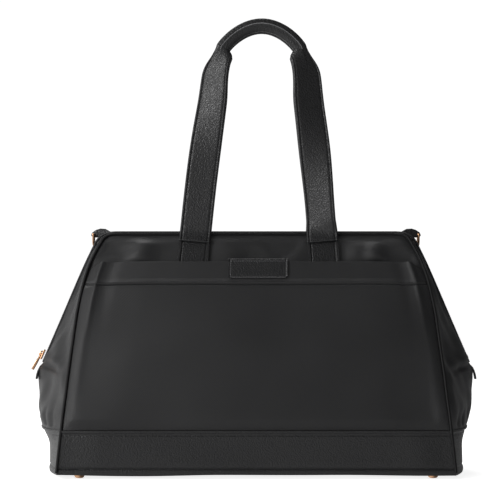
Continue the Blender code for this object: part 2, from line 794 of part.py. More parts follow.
def make_end_tabs():
    """Folded nylon tabs that close the two ends of the zip, just under the fold."""
    for side, hand in ((-1, "left"), (1, "right")):
        size = (END_TAB_THICKNESS, END_TAB_WIDTH, END_TAB_LENGTH)
        obj = place(f"zip_end_tab_{hand}", box_mesh("end_tab", size, END_TAB_EDGE), NYLON_FINISH)
        z = FOLD_HEIGHT - END_TAB_DROP - END_TAB_LENGTH / 2
        obj.location = (side * (ridge_x(z) + END_TAB_THICKNESS / 2 + END_TAB_STAND_OFF), 0, z)


# ---- Mouth frame --------------------------------------------------------------------------------


def wire_path():
    """(x, z) points of half a frame wire, from its pivot up the ridge and along the top."""
    points = [(ridge_x(FOLD_HEIGHT) - WIRE_SETBACK, FOLD_HEIGHT)]
    top_x = ridge_x(WIRE_TOP) - WIRE_SETBACK - WIRE_STEP_IN
    up = Vector((-RIDGE_LEAN, 1)).normalized()
    corner = Vector((top_x, WIRE_TOP))
    start = corner - up * WIRE_BEND
    end = corner - Vector((WIRE_BEND, 0))
    points.append((points[0][0] - WIRE_STEP_IN, FOLD_HEIGHT + WIRE_EYE_RISE))
    for i in range(9):
        t = i / 8
        p = start * (1 - t) ** 2 + corner * 2 * (1 - t) * t + end * t * t
        points.append((p.x, p.y))
    return points


def make_frame_wire(side, word):
    half = wire_path()
    path = half + [(-x, z) for x, z in reversed(half)]
    points = [(x, side * WIRE_OFFSET, z) for x, z in path]
    tube(f"frame_wire_{word}", points, WIRE_RADIUS, STEEL_FINISH)


def make_rivets():
    for side, hand in ((-1, "left"), (1, "right")):
        bm = bmesh.new()
        bmesh.ops.create_cone(
            bm, cap_ends=True, segments=20, radius1=RIVET_RADIUS, radius2=RIVET_RADIUS,
            depth=RIVET_LENGTH,
        )
        obj = place(f"frame_rivet_{hand}", mesh_from(bm, "rivet"), STEEL_FINISH)
        obj.rotation_euler = (0, math.pi / 2, 0)
        inner_face = FOLD_HALF_WIDTH - NYLON - RIVET_CLEARANCE
        obj.location = (side * (inner_face - RIVET_LENGTH / 2), 0, FOLD_HEIGHT)


# ---- Lining -------------------------------------------------------------------------------------

LINING_TOP = FOLD_HEIGHT - LINING_DROP


def lining_ring(z, inset):
    """The lining's outline at this height, as points round the bag."""
    depth = half_depth(z) - inset
    steps = 8
    ring = []
    for i in range(steps + 1):
        y = -depth + 2 * depth * i / steps
        wall = gusset_x(z, y * half_depth(z) / depth)
        ring.append((min(wall - inset, corner_x(z) + LINING_MARGIN), y, z))
    return ring + [(-x, -y, z) for x, y, z in ring]


def make_lining_bucket(inset):
    """The lining under the fold: an open-topped bucket that stands on the feet's prongs."""
    floor = PRONG_TOP + GAP
    heights = [floor] + [between(BAND_TOP, LINING_TOP, i / 3) for i in range(4)]
    bm = bmesh.new()
    loops = [[bm.verts.new(point) for point in lining_ring(z, inset)] for z in heights]
    for lower, upper in zip(loops, loops[1:]):
        for i in range(len(lower)):
            j = (i + 1) % len(lower)
            bm.faces.new((lower[i], lower[j], upper[j], upper[i]))
    bm.faces.new(reversed(loops[0]))
    bmesh.ops.recalc_face_normals(bm, faces=bm.faces)
    if sum(face.normal.dot(face.calc_center_median() * Vector((1, 1, 0))) for face in bm.faces) < 0:
        bmesh.ops.reverse_faces(bm, faces=bm.faces)
    obj = place("lining_lower", mesh_from(bm, "lining_lower"), LINING_FINISH)
    wall = obj.modifiers.new("thickness", "SOLIDIFY")
    wall.thickness = LINING
    wall.offset = -1


def make_lining():
    """The bucket, a sheet inside each jaw, and a slip pocket on the back wall."""
    inset = NYLON + LINING_SETBACK
    make_lining_bucket(inset)
    low = panel_mouth_height() + LINING_HEM
    high = WIRE_TOP - WIRE_RADIUS - LINING_MARGIN

    def jaw_sheet(u, v, side):
        z = between(low, high, v)
        return panel_point((2 * u - 1) * (corner_x(z) - LINING_SIDE_MARGIN), z, side, -NYLON - GAP)

    for side, word in ((-1, "front"), (1, "back")):
        sheet(
            f"lining_upper_{word}", lambda u, v, s=side: jaw_sheet(u, v, s),
            8, 3, LINING, LINING_FINISH, side_facing(side),
        )

    def pocket(u, v):
        z = between(BAND_TOP + INNER_POCKET_LIFT, LINING_TOP - INNER_POCKET_LIFT, v)
        return panel_point((u - 0.5) * INNER_POCKET_WIDTH, z, 1, -inset - LINING - GAP)

    sheet("inner_slip_pocket", pocket, 4, 2, LINING, LINING_FINISH, side_facing(1))


# ---- Loops and rings ----------------------------------------------------------------------------

RING_X = ridge_x(RING_Z) + RING_STAND_OFF


def make_ring_loop(side, hand):
    """A leather tab folded round the bar of a D-ring, sewn to the top corner of the back jaw."""
    bar = Vector((side * RING_X, RING_Z))
    clear = RING_WIRE + GAP
    outer = clear + LOOP_THICKNESS
    arc = [math.radians(a) for a in range(-60, 151, 30)]
    foot = Vector((side * (TOP_HALF_WIDTH - LOOP_SEAT), BODY_HEIGHT + 3 * GAP))
    outside = [bar + Vector((side * math.cos(a), math.sin(a))) * outer for a in arc]
    inside = [bar + Vector((side * math.cos(a), math.sin(a))) * clear for a in arc]
    top = Vector((0, LOOP_THICKNESS))
    outline = [foot + top] + outside[::-1] + inside + [foot]
    curve = bpy.data.curves.new(f"ring_loop_{hand}", "CURVE")
    curve.dimensions = "2D"
    curve.fill_mode = "BOTH"
    curve.extrude = LOOP_WIDTH / 2
    spline = curve.splines.new("POLY")
    spline.points.add(len(outline) - 1)
    spline.use_cyclic_u = True
    for knot, p in zip(spline.points, outline):
        knot.co = (p.x, p.y, 0, 1)
    obj = bpy.data.objects.new(f"ring_loop_{hand}", curve)
    curve.materials.append(finish(f"ring_loop_{hand}_leather", *LEATHER_FINISH[1:]))
    parts.objects.link(obj)
    obj.rotation_euler = (math.pi / 2, 0, 0)
    obj.location = (0, LOOP_Y, 0)


def make_ring(side, hand):
    """A D-ring: a straight bar in the loop, and a round bow that hangs below it."""
    bow = [
        (0, RING_HALF_WIDTH * math.cos(a), -RING_DROP * math.sin(a) ** RING_SQUARENESS)
        for a in (math.pi * i / 12 for i in range(13))
    ]
    ring = tube(f"d_ring_{hand}", bow, RING_WIRE, BRASS_FINISH, cyclic=True)
    ring.location = (side * RING_X, LOOP_Y, RING_Z)


make_base()
make_feet()
make_lower_walls()
for y_side, word in ((-1, "front"), (1, "back")):
    make_jaw_cloth(y_side, word)
    make_piping(y_side, word)
    make_facings(y_side, word)
    make_handle(y_side, word)
    make_zip_half(y_side, word)
    make_frame_wire(y_side, word)
make_pocket()
make_pull(make_slider())
make_end_tabs()
make_rivets()
make_lining()
for x_side, hand in ((-1, "left"), (1, "right")):
    make_ring_loop(x_side, hand)
    make_ring(x_side, hand)
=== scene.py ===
import itertools
import math

import bmesh
import bpy
from mathutils import Matrix, Vector, noise


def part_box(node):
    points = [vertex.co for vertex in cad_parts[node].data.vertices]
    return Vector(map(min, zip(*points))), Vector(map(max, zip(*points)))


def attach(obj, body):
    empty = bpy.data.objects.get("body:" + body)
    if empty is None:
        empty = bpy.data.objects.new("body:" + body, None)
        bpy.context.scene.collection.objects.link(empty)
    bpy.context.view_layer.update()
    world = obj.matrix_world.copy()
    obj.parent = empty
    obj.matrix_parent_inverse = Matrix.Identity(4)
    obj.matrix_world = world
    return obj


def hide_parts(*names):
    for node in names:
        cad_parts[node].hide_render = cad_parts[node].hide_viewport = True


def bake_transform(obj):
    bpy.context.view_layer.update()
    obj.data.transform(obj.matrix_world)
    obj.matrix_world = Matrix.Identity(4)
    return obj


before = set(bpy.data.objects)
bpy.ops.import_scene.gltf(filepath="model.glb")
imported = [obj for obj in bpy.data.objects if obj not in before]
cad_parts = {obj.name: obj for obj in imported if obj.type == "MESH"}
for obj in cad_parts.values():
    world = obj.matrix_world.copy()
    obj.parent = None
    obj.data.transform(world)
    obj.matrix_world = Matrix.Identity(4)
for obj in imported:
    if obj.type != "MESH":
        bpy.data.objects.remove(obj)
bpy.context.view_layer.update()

# ---- Studio ------------------------------------------------------------------------------------
# A seamless pale floor under white surroundings that are bright on the left and dim on the right,
# with one soft light high on the left and a wide one overhead. The camera is level with the bag's
# upper third, far off on a long lens.

CAMERA_DISTANCE = 3.0
FRAME_WIDTH = 0.575
CAMERA_HEIGHT = 0.2547
CAMERA_OFFSET = -0.0069
FLOOR_COLOUR = "f4f4f3"
FLOOR_GLOW = 0.84
BACKDROP_LEVEL = 1.05
LEFT_LEVEL, RIGHT_LEVEL = 0.90, 0.12
OVERHEAD_SHARE = 0.36


def linear(colour):
    """The linear RGBA of an sRGB hex colour."""
    shares = [int(colour[i : i + 2], 16) / 255 for i in (0, 2, 4)]
    return [s / 12.92 if s <= 0.04045 else ((s + 0.055) / 1.055) ** 2.4 for s in shares] + [1.0]


def node(tree, kind, inputs=None, into=None, out=0, **settings):
    """Adds a node with its settings. inputs gives its sockets values or other nodes' outputs, and
    into is the shader's socket that its output goes to."""
    made = tree.nodes.new("ShaderNode" + kind)
    for key, value in settings.items():
        setattr(made, key, value)
    for socket, value in (inputs or {}).items():
        if isinstance(value, bpy.types.NodeSocket):
            tree.links.new(value, made.inputs[socket])
        else:
            made.inputs[socket].default_value = value
    if into:
        tree.links.new(made.outputs[out], tree.nodes["Principled BSDF"].inputs[into])
    return made


def new_material(name, colour, **values):
    """A material whose one shader has this sRGB colour and these values, with its node tree."""
    made = bpy.data.materials.new(name)
    made.use_nodes = True
    shader = made.node_tree.nodes["Principled BSDF"]
    shader.inputs["Base Color"].default_value = linear(colour)
    for socket, value in values.items():
        shader.inputs[socket.replace("_", " ")].default_value = value
    return made, made.node_tree


scene = bpy.context.scene
scene.view_settings.view_transform = "Standard"

camera_data = bpy.data.cameras.new("camera")
camera_data.sensor_width = 36
camera_data.lens = camera_data.sensor_width * CAMERA_DISTANCE / FRAME_WIDTH
camera = bpy.data.objects.new("camera", camera_data)
camera.location = (CAMERA_OFFSET, -CAMERA_DISTANCE, CAMERA_HEIGHT)
camera.rotation_euler = (math.pi / 2, 0, 0)
scene.collection.objects.link(camera)
scene.camera = camera

bm = bmesh.new()
bmesh.ops.create_grid(bm, x_segments=1, y_segments=1, size=20)
floor_mesh = bpy.data.meshes.new("floor")
bm.to_mesh(floor_mesh)
bm.free()
floor = bpy.data.objects.new("floor", floor_mesh)
scene.collection.objects.link(floor)
# Matt white paper, lit from all round, so that only the contact shadow shows on it.
floor_paper, tree = new_material(
    "matt_paper", FLOOR_COLOUR, Roughness=0.95, Specular_IOR_Level=0.0, Emission_Color=linear("ffffff"),
    Emission_Strength=FLOOR_GLOW,
)
floor_mesh.materials.append(floor_paper)
floor.visible_glossy = False

world = bpy.data.worlds.new("studio")
scene.world = world
world.use_nodes = True
tree = world.node_tree
direction = node(tree, "TexCoord")
split = node(tree, "SeparateXYZ", {0: direction.outputs["Generated"]})
across = node(tree, "MapRange", {
    "Value": split.outputs["X"], "From Min": -0.75, "From Max": 0.65,
    "To Min": LEFT_LEVEL, "To Max": RIGHT_LEVEL,
}, interpolation_type="SMOOTHSTEP")
upward = node(tree, "MapRange", {
    "Value": split.outputs["Z"], "From Min": 0.10, "From Max": 0.60, "To Min": 1.0, "To Max": OVERHEAD_SHARE,
}, interpolation_type="SMOOTHSTEP")
surround = node(tree, "Math", {0: across.outputs[0], 1: upward.outputs[0]}, operation="MULTIPLY")
seen = node(tree, "LightPath")
level = node(tree, "Mix", {0: seen.outputs["Is Camera Ray"], 2: surround.outputs[0], 3: BACKDROP_LEVEL})
tree.links.new(level.outputs[0], tree.nodes["Background"].inputs["Strength"])
tree.nodes["Background"].inputs["Color"].default_value = linear("ffffff")

LIGHT_AIM = Vector((0, 0, 0.16))
LIGHTS = (
    ("key_left", (-1.30, -1.02, 0.85), 0.55, 11.5),
    ("top", (-0.3, 0.5, 1.9), 1.4, 18.0),
)
for name, place, size, power in LIGHTS:
    lamp = bpy.data.lights.new(name, "AREA")
    lamp.shape = "DISK"
    lamp.size = size
    lamp.energy = power
    light = bpy.data.objects.new(name, lamp)
    light.location = place
    light.rotation_euler = (LIGHT_AIM - Vector(place)).to_track_quat("-Z", "Y").to_euler()
    scene.collection.objects.link(light)

# ---- Body cloth --------------------------------------------------------------------------------
# The body is satin black nylon, cut as a front and a back half. Each half is one lofted shell: the
# panel and, round the corner seams, its half of both gussets, which meet on the zip line. It sags
# and puckers between its seams as unpadded cloth does.

BODY_HEIGHT = 0.2755
BASE_HEIGHT = 0.006
BAND_TOP = 0.054
FOLD_HEIGHT = 0.123
BASE_HALF_WIDTH = 0.2222
TOP_HALF_WIDTH = 0.1680
BAND_HALF_WIDTH = 0.2362
FOLD_HALF_WIDTH = 0.2482
BASE_HALF_DEPTH = 0.105
TOP_HALF_DEPTH = 0.011
RIDGE_LEAN = (FOLD_HALF_WIDTH - TOP_HALF_WIDTH - 0.0133) / (BODY_HEIGHT - FOLD_HEIGHT)
DEPTH_SLOPE = (BASE_HALF_DEPTH - TOP_HALF_DEPTH) / (BODY_HEIGHT - BAND_TOP)
PANEL_ANGLE = math.atan(DEPTH_SLOPE)
ZIP_TOP = BODY_HEIGHT - 0.0015
ZIP_CORNER = BODY_HEIGHT - 0.019
ZIP_CORNER_REACH = 0.008
ZIP_EDGE = 0.0068
NYLON = 0.0012
NYLON_COLOUR = "161617"
NYLON_WORN = "1d1d1e"
SHELL_PANEL_COLUMNS = 140
SHELL_GUSSET_COLUMNS = 40
LEFT_FLARE, RIGHT_FLARE = 0.0050, 0.0012
SHELL_TOP_AT_RIDGE = BODY_HEIGHT - 0.0024
TOP_SEAM = BODY_HEIGHT - 0.0026
MERGE_REACH = 1e-6
SIDES = ((-1, "front"), (1, "back"))
HANDS = ((-1, "left"), (1, "right"))


def smooth(t):
    t = min(1.0, max(0.0, t))
    return t * t * (3 - 2 * t)


def between(low, high, share):
    return low + (high - low) * share


def bump(distance, width):
    return math.exp(-((distance / width) ** 2))


def waver(x, y, z):
    """Smooth noise from -1 to 1 over about one unit."""
    return noise.noise(Vector((x, y, z)))


def crowd(s, share):
    """Moves a share from -1 to 1 outwards, so that a row of points is densest at both ends."""
    return between(s, math.sin(s * math.pi / 2), share)


def steps(start, *runs):
    """A list of heights from start, with a number of even steps up to each height that follows."""
    heights = [start]
    for top, count in runs:
        low = heights[-1]
        heights += [between(low, top, i / count) for i in range(1, count + 1)]
    return heights


def half_depth(z):
    return BASE_HALF_DEPTH - DEPTH_SLOPE * max(0.0, z - BAND_TOP)


def corner_x(z):
    """Half the width between the corner seams: a steady taper that rounds in at the top."""
    h = z / BODY_HEIGHT
    return BASE_HALF_WIDTH - (BASE_HALF_WIDTH - TOP_HALF_WIDTH) * (0.53 * h + 0.47 * h**8)


def ridge_x(z):
    """Half the width on the zip line: out to the fold, straight up and in, and over the top corner."""
    if z <= FOLD_HEIGHT:
        swell = smooth((z - 0.6 * BAND_TOP) / (0.7 * FOLD_HEIGHT - 0.6 * BAND_TOP))
        return between(BAND_HALF_WIDTH, FOLD_HALF_WIDTH, swell)
    if z <= ZIP_CORNER:
        return FOLD_HALF_WIDTH - RIDGE_LEAN * (z - FOLD_HEIGHT)
    t = 1 - math.sqrt(max(0.0, (ZIP_TOP - z) / (ZIP_TOP - ZIP_CORNER)))
    start = FOLD_HALF_WIDTH - RIDGE_LEAN * (ZIP_CORNER - FOLD_HEIGHT)
    bend, end = start - ZIP_CORNER_REACH, TOP_HALF_WIDTH - ZIP_CORNER_REACH
    return (1 - t) ** 2 * start + 2 * (1 - t) * t * bend + t * t * end


def gusset_x(z, y):
    """The gusset between corner and ridge: rounded at the band, a crisp crease above it."""
    toward = max(0.0, 1 - abs(y) / half_depth(z))
    roundness = 2.0 - 0.9 * smooth((z - BASE_HEIGHT) / (FOLD_HEIGHT - BASE_HEIGHT))
    return corner_x(z) + (ridge_x(z) - corner_x(z)) * (1 - (1 - toward) ** roundness)


def band_flare(x, y, z):
    """How far the band's turned top edge stands out on the gussets, most of all on the left."""
    toward = max(0.0, 1 - abs(y) / half_depth(z))
    reach = bump(z - BAND_TOP, 0.013) if z < BAND_TOP else bump(z - BAND_TOP, 0.020)
    return (LEFT_FLARE if x < 0 else RIGHT_FLARE) * reach * smooth(toward * 2.2)


def panel_point(x, z, side, off=0.0):
    """A point on the front (side -1) or back (side 1) panel, moved off it along its normal."""
    lean = PANEL_ANGLE if z > BAND_TOP else 0.0
    return Vector((x, side * (half_depth(z) + off * math.cos(lean)), z + off * math.sin(lean)))


def piece(name, bm, material, sharp=50):
    """An object of the bag from a bmesh, in place, with its material."""
    mesh = bpy.data.meshes.new(name)
    bm.to_mesh(mesh)
    bm.free()
    mesh.shade_smooth()
    mesh.set_sharp_from_angle(angle=math.radians(sharp))
    mesh.materials.append(material)
    obj = bpy.data.objects.new(name, mesh)
    scene.collection.objects.link(obj)
    return obj


def cloth(name, point, cuts, size, material, outward, relief=None):
    """A sewn sheet: a grid laid on point(u, v), mapped in real metres and moved by relief along its normal."""
    bm = bmesh.new()
    bmesh.ops.create_grid(bm, x_segments=cuts[0], y_segments=cuts[1], size=0.5)
    weave = bm.loops.layers.uv.new("weave")
    for face in bm.faces:
        for loop in face.loops:
            loop[weave].uv = ((loop.vert.co.x + 0.5) * size[0], (loop.vert.co.y + 0.5) * size[1])
    for vert in bm.verts:
        vert.co = point(vert.co.x + 0.5, vert.co.y + 0.5)
    bmesh.ops.remove_doubles(bm, verts=bm.verts, dist=MERGE_REACH)
    bm.normal_update()
    if sum(f.normal.dot(Vector(outward(f.calc_center_median()))) * f.calc_area() for f in bm.faces) < 0:
        bmesh.ops.reverse_faces(bm, faces=bm.faces)
        bm.normal_update()
    if relief:
        lifts = [vert.normal * relief(vert.co) for vert in bm.verts]
        for vert, lift in zip(bm.verts, lifts):
            vert.co += lift
    return piece(name, bm, material)


def thicken(obj, thickness, offset=-1.0, edge=0.0):
    """Gives a sheet its thickness, and rounds its rim where edge is given."""
    wall = obj.modifiers.new("thickness", "SOLIDIFY")
    wall.thickness = thickness
    wall.offset = offset
    if edge:
        rim = obj.modifiers.new("rim", "BEVEL")
        rim.width = edge
        rim.segments = 2
        rim.limit_method = "ANGLE"
    return obj


def across_mouth(obj):
    """Bakes a piece's transform into its mesh."""
    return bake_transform(obj)


# A wave texture of scale 1 repeats every 0.3142 m, so this over a pitch is the scale that gives it.
WAVE_LENGTH = 0.3142
# Tightly woven polyamide with a satin face: a soft wide sheen over near black, and a thread of
# 0.3 mm, drawn at 0.9 mm so that it shows.
satin_nylon, tree = new_material(
    "satin_nylon", NYLON_COLOUR, Roughness=0.46, IOR=1.53, Sheen_Weight=0.03, Sheen_Roughness=0.4
)
where = node(tree, "TexCoord").outputs
drift = node(tree, "TexNoise", {"Vector": where["Object"], "Scale": 16.0, "Detail": 3.0})
node(tree, "Mix", {0: drift.outputs["Fac"], 6: linear(NYLON_COLOUR), 7: linear(NYLON_WORN)},
     into="Base Color", out=2, data_type="RGBA")
node(tree, "MapRange", {"Value": drift.outputs["Fac"], "To Min": 0.40, "To Max": 0.52}, into="Roughness")
warp = node(tree, "TexWave", {
    "Vector": where["UV"], "Scale": WAVE_LENGTH / 0.0009, "Distortion": 0.6, "Detail Scale": 2.0,
}, bands_direction="DIAGONAL")
fine = node(tree, "TexNoise", {"Vector": where["UV"], "Scale": 900.0, "Detail": 2.0})
weave_height = node(tree, "Math", {0: warp.outputs["Fac"], 1: fine.outputs["Fac"]}, operation="ADD")
node(tree, "Bump", {"Height": weave_height.outputs[0], "Strength": 0.35, "Distance": 0.00022}, into="Normal")


def seam_fade(co, reach=0.016):
    """0 on the seams of a half shell and 1 well inside its panel or gussets."""
    corner = math.hypot(abs(co.x) - corner_x(co.z), abs(co.y) - half_depth(co.z))
    low = co.z - BAND_TOP
    high = BODY_HEIGHT - 0.004 - co.z
    ridge = 1.0 if co.z < FOLD_HEIGHT else smooth((abs(co.y) - ZIP_EDGE) / 0.010)
    return smooth(corner / reach) * smooth(low / reach) * smooth(high / reach) * ridge


PINCHES = ((0.26, 0.0020), (0.47, 0.0032), (0.78, 0.0024))
CREASE_DEPTH = 0.0034
CREASE_WIDTH = 0.0034
DENT_DEPTH, DIMPLE_DEPTH = 0.0056, 0.0026
STRIP_FOOT = 0.236
STRIP_SLACK = 0.0036
BACK_SWELL = 0.0034
HANDLE_SHIFT = 0.003
FACING_SPREAD = 0.0758


def gusset_relief(co, side):
    """Soft dents down a gusset, a crease at the fold, and short pinches drawn into the band seam."""
    toward = 1 - abs(co.y) / half_depth(co.z)
    hand = math.copysign(1, co.x)
    dents = waver(hand * 7.3 + side, toward * 1.7 + co.z * 6, co.z * 19)
    small = waver(hand * 2.9, toward * 4.0 + co.z * 22, co.z * 40 + side)
    crease_z = FOLD_HEIGHT - 0.001 + 0.010 * (toward - 0.7)
    crease = CREASE_DEPTH * bump(co.z - crease_z, CREASE_WIDTH) * smooth((toward - 0.15) / 0.4)
    pinch = sum(depth * bump(toward - at - 0.8 * (co.z - BAND_TOP), 0.050) for at, depth in PINCHES)
    gather = bump(co.z - BAND_TOP - 0.007, 0.012) * smooth((co.z - BAND_TOP) / 0.006)
    seam = 0.0009 * bump(math.hypot(abs(co.x) - corner_x(co.z), abs(co.y) - half_depth(co.z)), 0.0028)
    calm = 1 - 0.55 * smooth((toward - 0.75) / 0.25)
    lip = 0.0020 * bump(co.z - crease_z - 0.008, 0.005) * smooth((toward - 0.1) / 0.4)
    body = DENT_DEPTH * max(dents, -0.5) + DIMPLE_DEPTH * max(small, -0.6) + lip - crease
    return body * seam_fade(co) * calm - pinch * gather - seam


def panel_relief(co, side):
    """Slack in the cloth above the pocket, a flat run behind it, and an easy swell on the back."""
    slack = waver(co.x * 16, side * 3.7, co.z * 30)
    slack += 0.5 * waver(co.x * 34 + 5, 2.0, co.z * 52 + side)
    hem = -0.0006 * bump(TOP_SEAM - co.z, 0.0014)
    seam = 0.0008 * bump(abs(co.x) - corner_x(co.z), 0.0030)
    if side < 0:
        slack *= 1 - smooth((0.040 - abs(abs(co.x - HANDLE_SHIFT) - FACING_SPREAD)) / 0.020)
        free = smooth((co.z - STRIP_FOOT) / 0.010) * smooth((TOP_SEAM - 0.001 - co.z) / 0.012)
        edge = smooth((corner_x(co.z) - abs(co.x)) / 0.012)
        crumple = 0.0036 * bump(co.x + 0.131, 0.017)
        crumple += 0.0026 * bump(co.x - 0.135, 0.010) * bump(co.z - 0.250, 0.014)
        return (STRIP_SLACK * max(slack, -0.30) + crumple) * free * edge - 0.0006 * (1 - free) + hem - seam
    swell = math.cos(co.x / corner_x(co.z) * math.pi / 2)
    swell *= math.sin(math.pi * smooth((co.z - BAND_TOP) / 0.21))
    sag = waver(co.x * 6, 1.3, co.z * 9)
    slow = 0.0020 * sag + 0.0007 * slack + BACK_SWELL * max(0.0, swell)
    return slow * seam_fade(co, 0.022) + hem - seam


SHELL_ROWS = steps(
    BAND_TOP - 0.002, (BAND_TOP + 0.022, 16), (FOLD_HEIGHT - 0.012, 12), (FOLD_HEIGHT + 0.014, 18),
    (0.240, 34), (0.264, 12), (BODY_HEIGHT, 16),
)


def shell_point(u, v, side):
    columns = SHELL_PANEL_COLUMNS + 2 * SHELL_GUSSET_COLUMNS
    column = round(u * columns)
    z = SHELL_ROWS[round(v * (len(SHELL_ROWS) - 1))]
    if SHELL_GUSSET_COLUMNS <= column <= columns - SHELL_GUSSET_COLUMNS:
        share = (column - SHELL_GUSSET_COLUMNS) / SHELL_PANEL_COLUMNS
        return panel_point(crowd(2 * share - 1, 0.65) * corner_x(z), z, side)
    hand = -1 if column < SHELL_GUSSET_COLUMNS else 1
    toward = 1 - min(column, columns - column) / SHELL_GUSSET_COLUMNS
    toward = between(toward, toward**1.6, 0.6)
    z = min(z, between(BODY_HEIGHT, SHELL_TOP_AT_RIDGE, smooth(toward * 3)))
    inner = ZIP_EDGE * smooth((z - FOLD_HEIGHT + 0.006) / 0.010)
    y = between(half_depth(z), inner, toward)
    return Vector((hand * (gusset_x(z, y) + band_flare(hand, y, z)), side * y, z))


def on_panel(co):
    return abs(co.x) < corner_x(co.z) + 1e-5 and abs(abs(co.y) - half_depth(co.z)) < 1e-4


for side, word in SIDES:
    shell = cloth(
        f"{word}_shell",
        lambda u, v: shell_point(u, v, side),
        (SHELL_PANEL_COLUMNS + 2 * SHELL_GUSSET_COLUMNS, len(SHELL_ROWS) - 1),
        (0.66, 0.24), satin_nylon,
        lambda co: (co.x * 0.3, co.y * 4, 0),
        lambda co: panel_relief(co, side) if on_panel(co) else gusset_relief(co, side),
    )
    thicken(shell, NYLON)
    across_mouth(shell)
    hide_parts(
        f"{word}_panel_lower", f"{word}_panel_upper", f"{word}_mouth_fold",
        f"{word}_gusset_upper_left", f"{word}_gusset_upper_right", "left_gusset_lower", "right_gusset_lower",
    )

# ---- Front slip pocket -------------------------------------------------------------------------
# A second layer of the same nylon over the front panel, hemmed along its open top edge and caught in
# the band and the corner seams. It hangs a little slack, so a soft fold runs down inside each corner.

POCKET_TOP = BODY_HEIGHT - 0.0365
POCKET_STAND_OFF = 0.0034
POCKET_SWELL, POCKET_SLACK = 0.0030, 0.0026
POCKET_CLOTH = 0.0011
HEM_DEPTH = 0.0233
HEM_RAISE = 0.0006
SEAM_ROOM = 0.0017
PLEAT = 0.0125
PLEAT_DROP = 0.0066
HEM_LINE = POCKET_TOP - HEM_DEPTH
POCKET_ROWS = steps(
    BAND_TOP + 0.0005, (BAND_TOP + 0.012, 10), (HEM_LINE - 0.004, 44), (HEM_LINE + 0.004, 16), (POCKET_TOP, 10),
)
POCKET_COLUMNS = 170


def pocket_off(z):
    share = smooth((z - BAND_TOP) / (0.6 * (POCKET_TOP - BAND_TOP)))
    return between(0.0006, 0.0018, smooth((z - BAND_TOP) / 0.012)) + POCKET_STAND_OFF * share


def pocket_point(u, v):
    """Flat between the two pleats; outside each pleat the strip drops back and down to the seam."""
    z = POCKET_ROWS[round(v * (len(POCKET_ROWS) - 1))]
    half = corner_x(z) - SEAM_ROOM
    x = crowd(2 * u - 1, 0.80) * half
    outside = max(0.0, 1 - (half - abs(x)) / PLEAT)
    high = smooth((z - 0.145) / 0.07)
    off = pocket_off(z) * (1 - outside * between(outside, 0.95, high) * 0.85)
    drop = PLEAT_DROP * outside * smooth((z - HEM_LINE + 0.012) / 0.030)
    return panel_point(x, z - drop, -1, off)


def pocket_relief(co):
    """Swell of the slack layer, the raised hem over its stitch line, and the crisp fold of each pleat."""
    half = corner_x(co.z) - SEAM_ROOM
    inside = half - abs(co.x)
    rise = (co.z - BAND_TOP) / (POCKET_TOP - BAND_TOP)
    swell = math.cos(co.x / half * math.pi / 2) * math.sin(math.pi * smooth(rise))
    slack = waver(co.x * 6.5, 0.3, co.z * 8)
    slack += 0.35 * waver(co.x * 15, 1, co.z * 12)
    fold = 0.0010 * bump(inside - PLEAT, 0.0030) * smooth((rise - 0.50) / 0.4)
    dip = 0.0011 * bump(inside - PLEAT - 0.012, 0.0080) * smooth((rise - 0.50) / 0.45)
    hem_line = co.z - HEM_LINE
    hem = HEM_RAISE * smooth(hem_line / 0.0012) - 0.0012 * bump(hem_line, 0.0010)
    edge = smooth(inside / 0.020) * smooth((co.z - BAND_TOP) / 0.020)
    calm = 1 - 0.85 * smooth((rise - 0.72) / 0.2)
    stuffed = 0.0017 * smooth((inside - PLEAT) / 0.060) * smooth(rise / 0.10)
    return (POCKET_SWELL * max(0.0, swell) + POCKET_SLACK * slack) * edge * calm + stuffed + fold - dip + hem


pocket = cloth(
    "front_pocket", pocket_point, (POCKET_COLUMNS, len(POCKET_ROWS) - 1), (0.41, 0.20), satin_nylon,
    lambda co: (0, -1, 0), pocket_relief,
)
thicken(pocket, POCKET_CLOTH, edge=0.0004)
across_mouth(pocket)
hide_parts("front_pocket_lower", "front_pocket_fold", "front_pocket_upper")

# ---- Stitching ---------------------------------------------------------------------------------
# Bonded black polyester thread, sewn as a lockstitch of about eight to the inch: short raised grains
# in a line that lies just inside a hem or a turned leather edge.

STITCH_PITCH = 0.0033
STITCH_SIZE = (0.0025, 0.00062, 0.00050)
# Twisted thread with a wax bond, a little brighter than the leather it crosses.
bonded_thread, tree = new_material("bonded_thread", "2a2a2b", Roughness=0.42, IOR=1.5)
where = node(tree, "TexCoord").outputs
twist = node(tree, "TexWave", {"Vector": where["Object"], "Scale": 500.0}, bands_direction="DIAGONAL")
node(tree, "Bump", {"Height": twist.outputs["Fac"], "Strength": 0.3, "Distance": 0.0001}, into="Normal")


def dyed_thread(name, colour, roughness):
    """The bonded thread in another colour."""
    thread = bonded_thread.copy()
    thread.name = name
    inputs = thread.node_tree.nodes["Principled BSDF"].inputs
    inputs["Base Color"].default_value = linear(colour)
    inputs["Roughness"].default_value = roughness
    return thread


def add_grain(bm, at, along, across, up, size, fineness):
    """Adds one small rounded body at a place, turned to three directions."""
    turn = Matrix((along, across, up)).transposed().to_4x4()
    place = Matrix.Translation(at) @ turn @ Matrix.Diagonal((*size, 1.0))
    bmesh.ops.create_icosphere(bm, subdivisions=fineness, radius=0.5, matrix=place)


def sew(bm, path, out, pitch=STITCH_PITCH, size=STITCH_SIZE):
    """Adds a row of stitches along a path of points; out(point) is the direction off the leather."""
    spare = pitch / 2
    for a, b in zip(path, path[1:]):
        along = b - a
        length = along.length
        if length < 1e-9:
            continue
        along = along / length
        while spare <= length:
            at = a + along * spare
            off = Vector(out(at)).normalized()
            add_grain(bm, at, along, off.cross(along).normalized(), off, size, 1)
            spare += pitch
        spare -= length


def off_panel(side):
    return lambda at: (0, side * math.cos(PANEL_ANGLE), math.sin(PANEL_ANGLE))


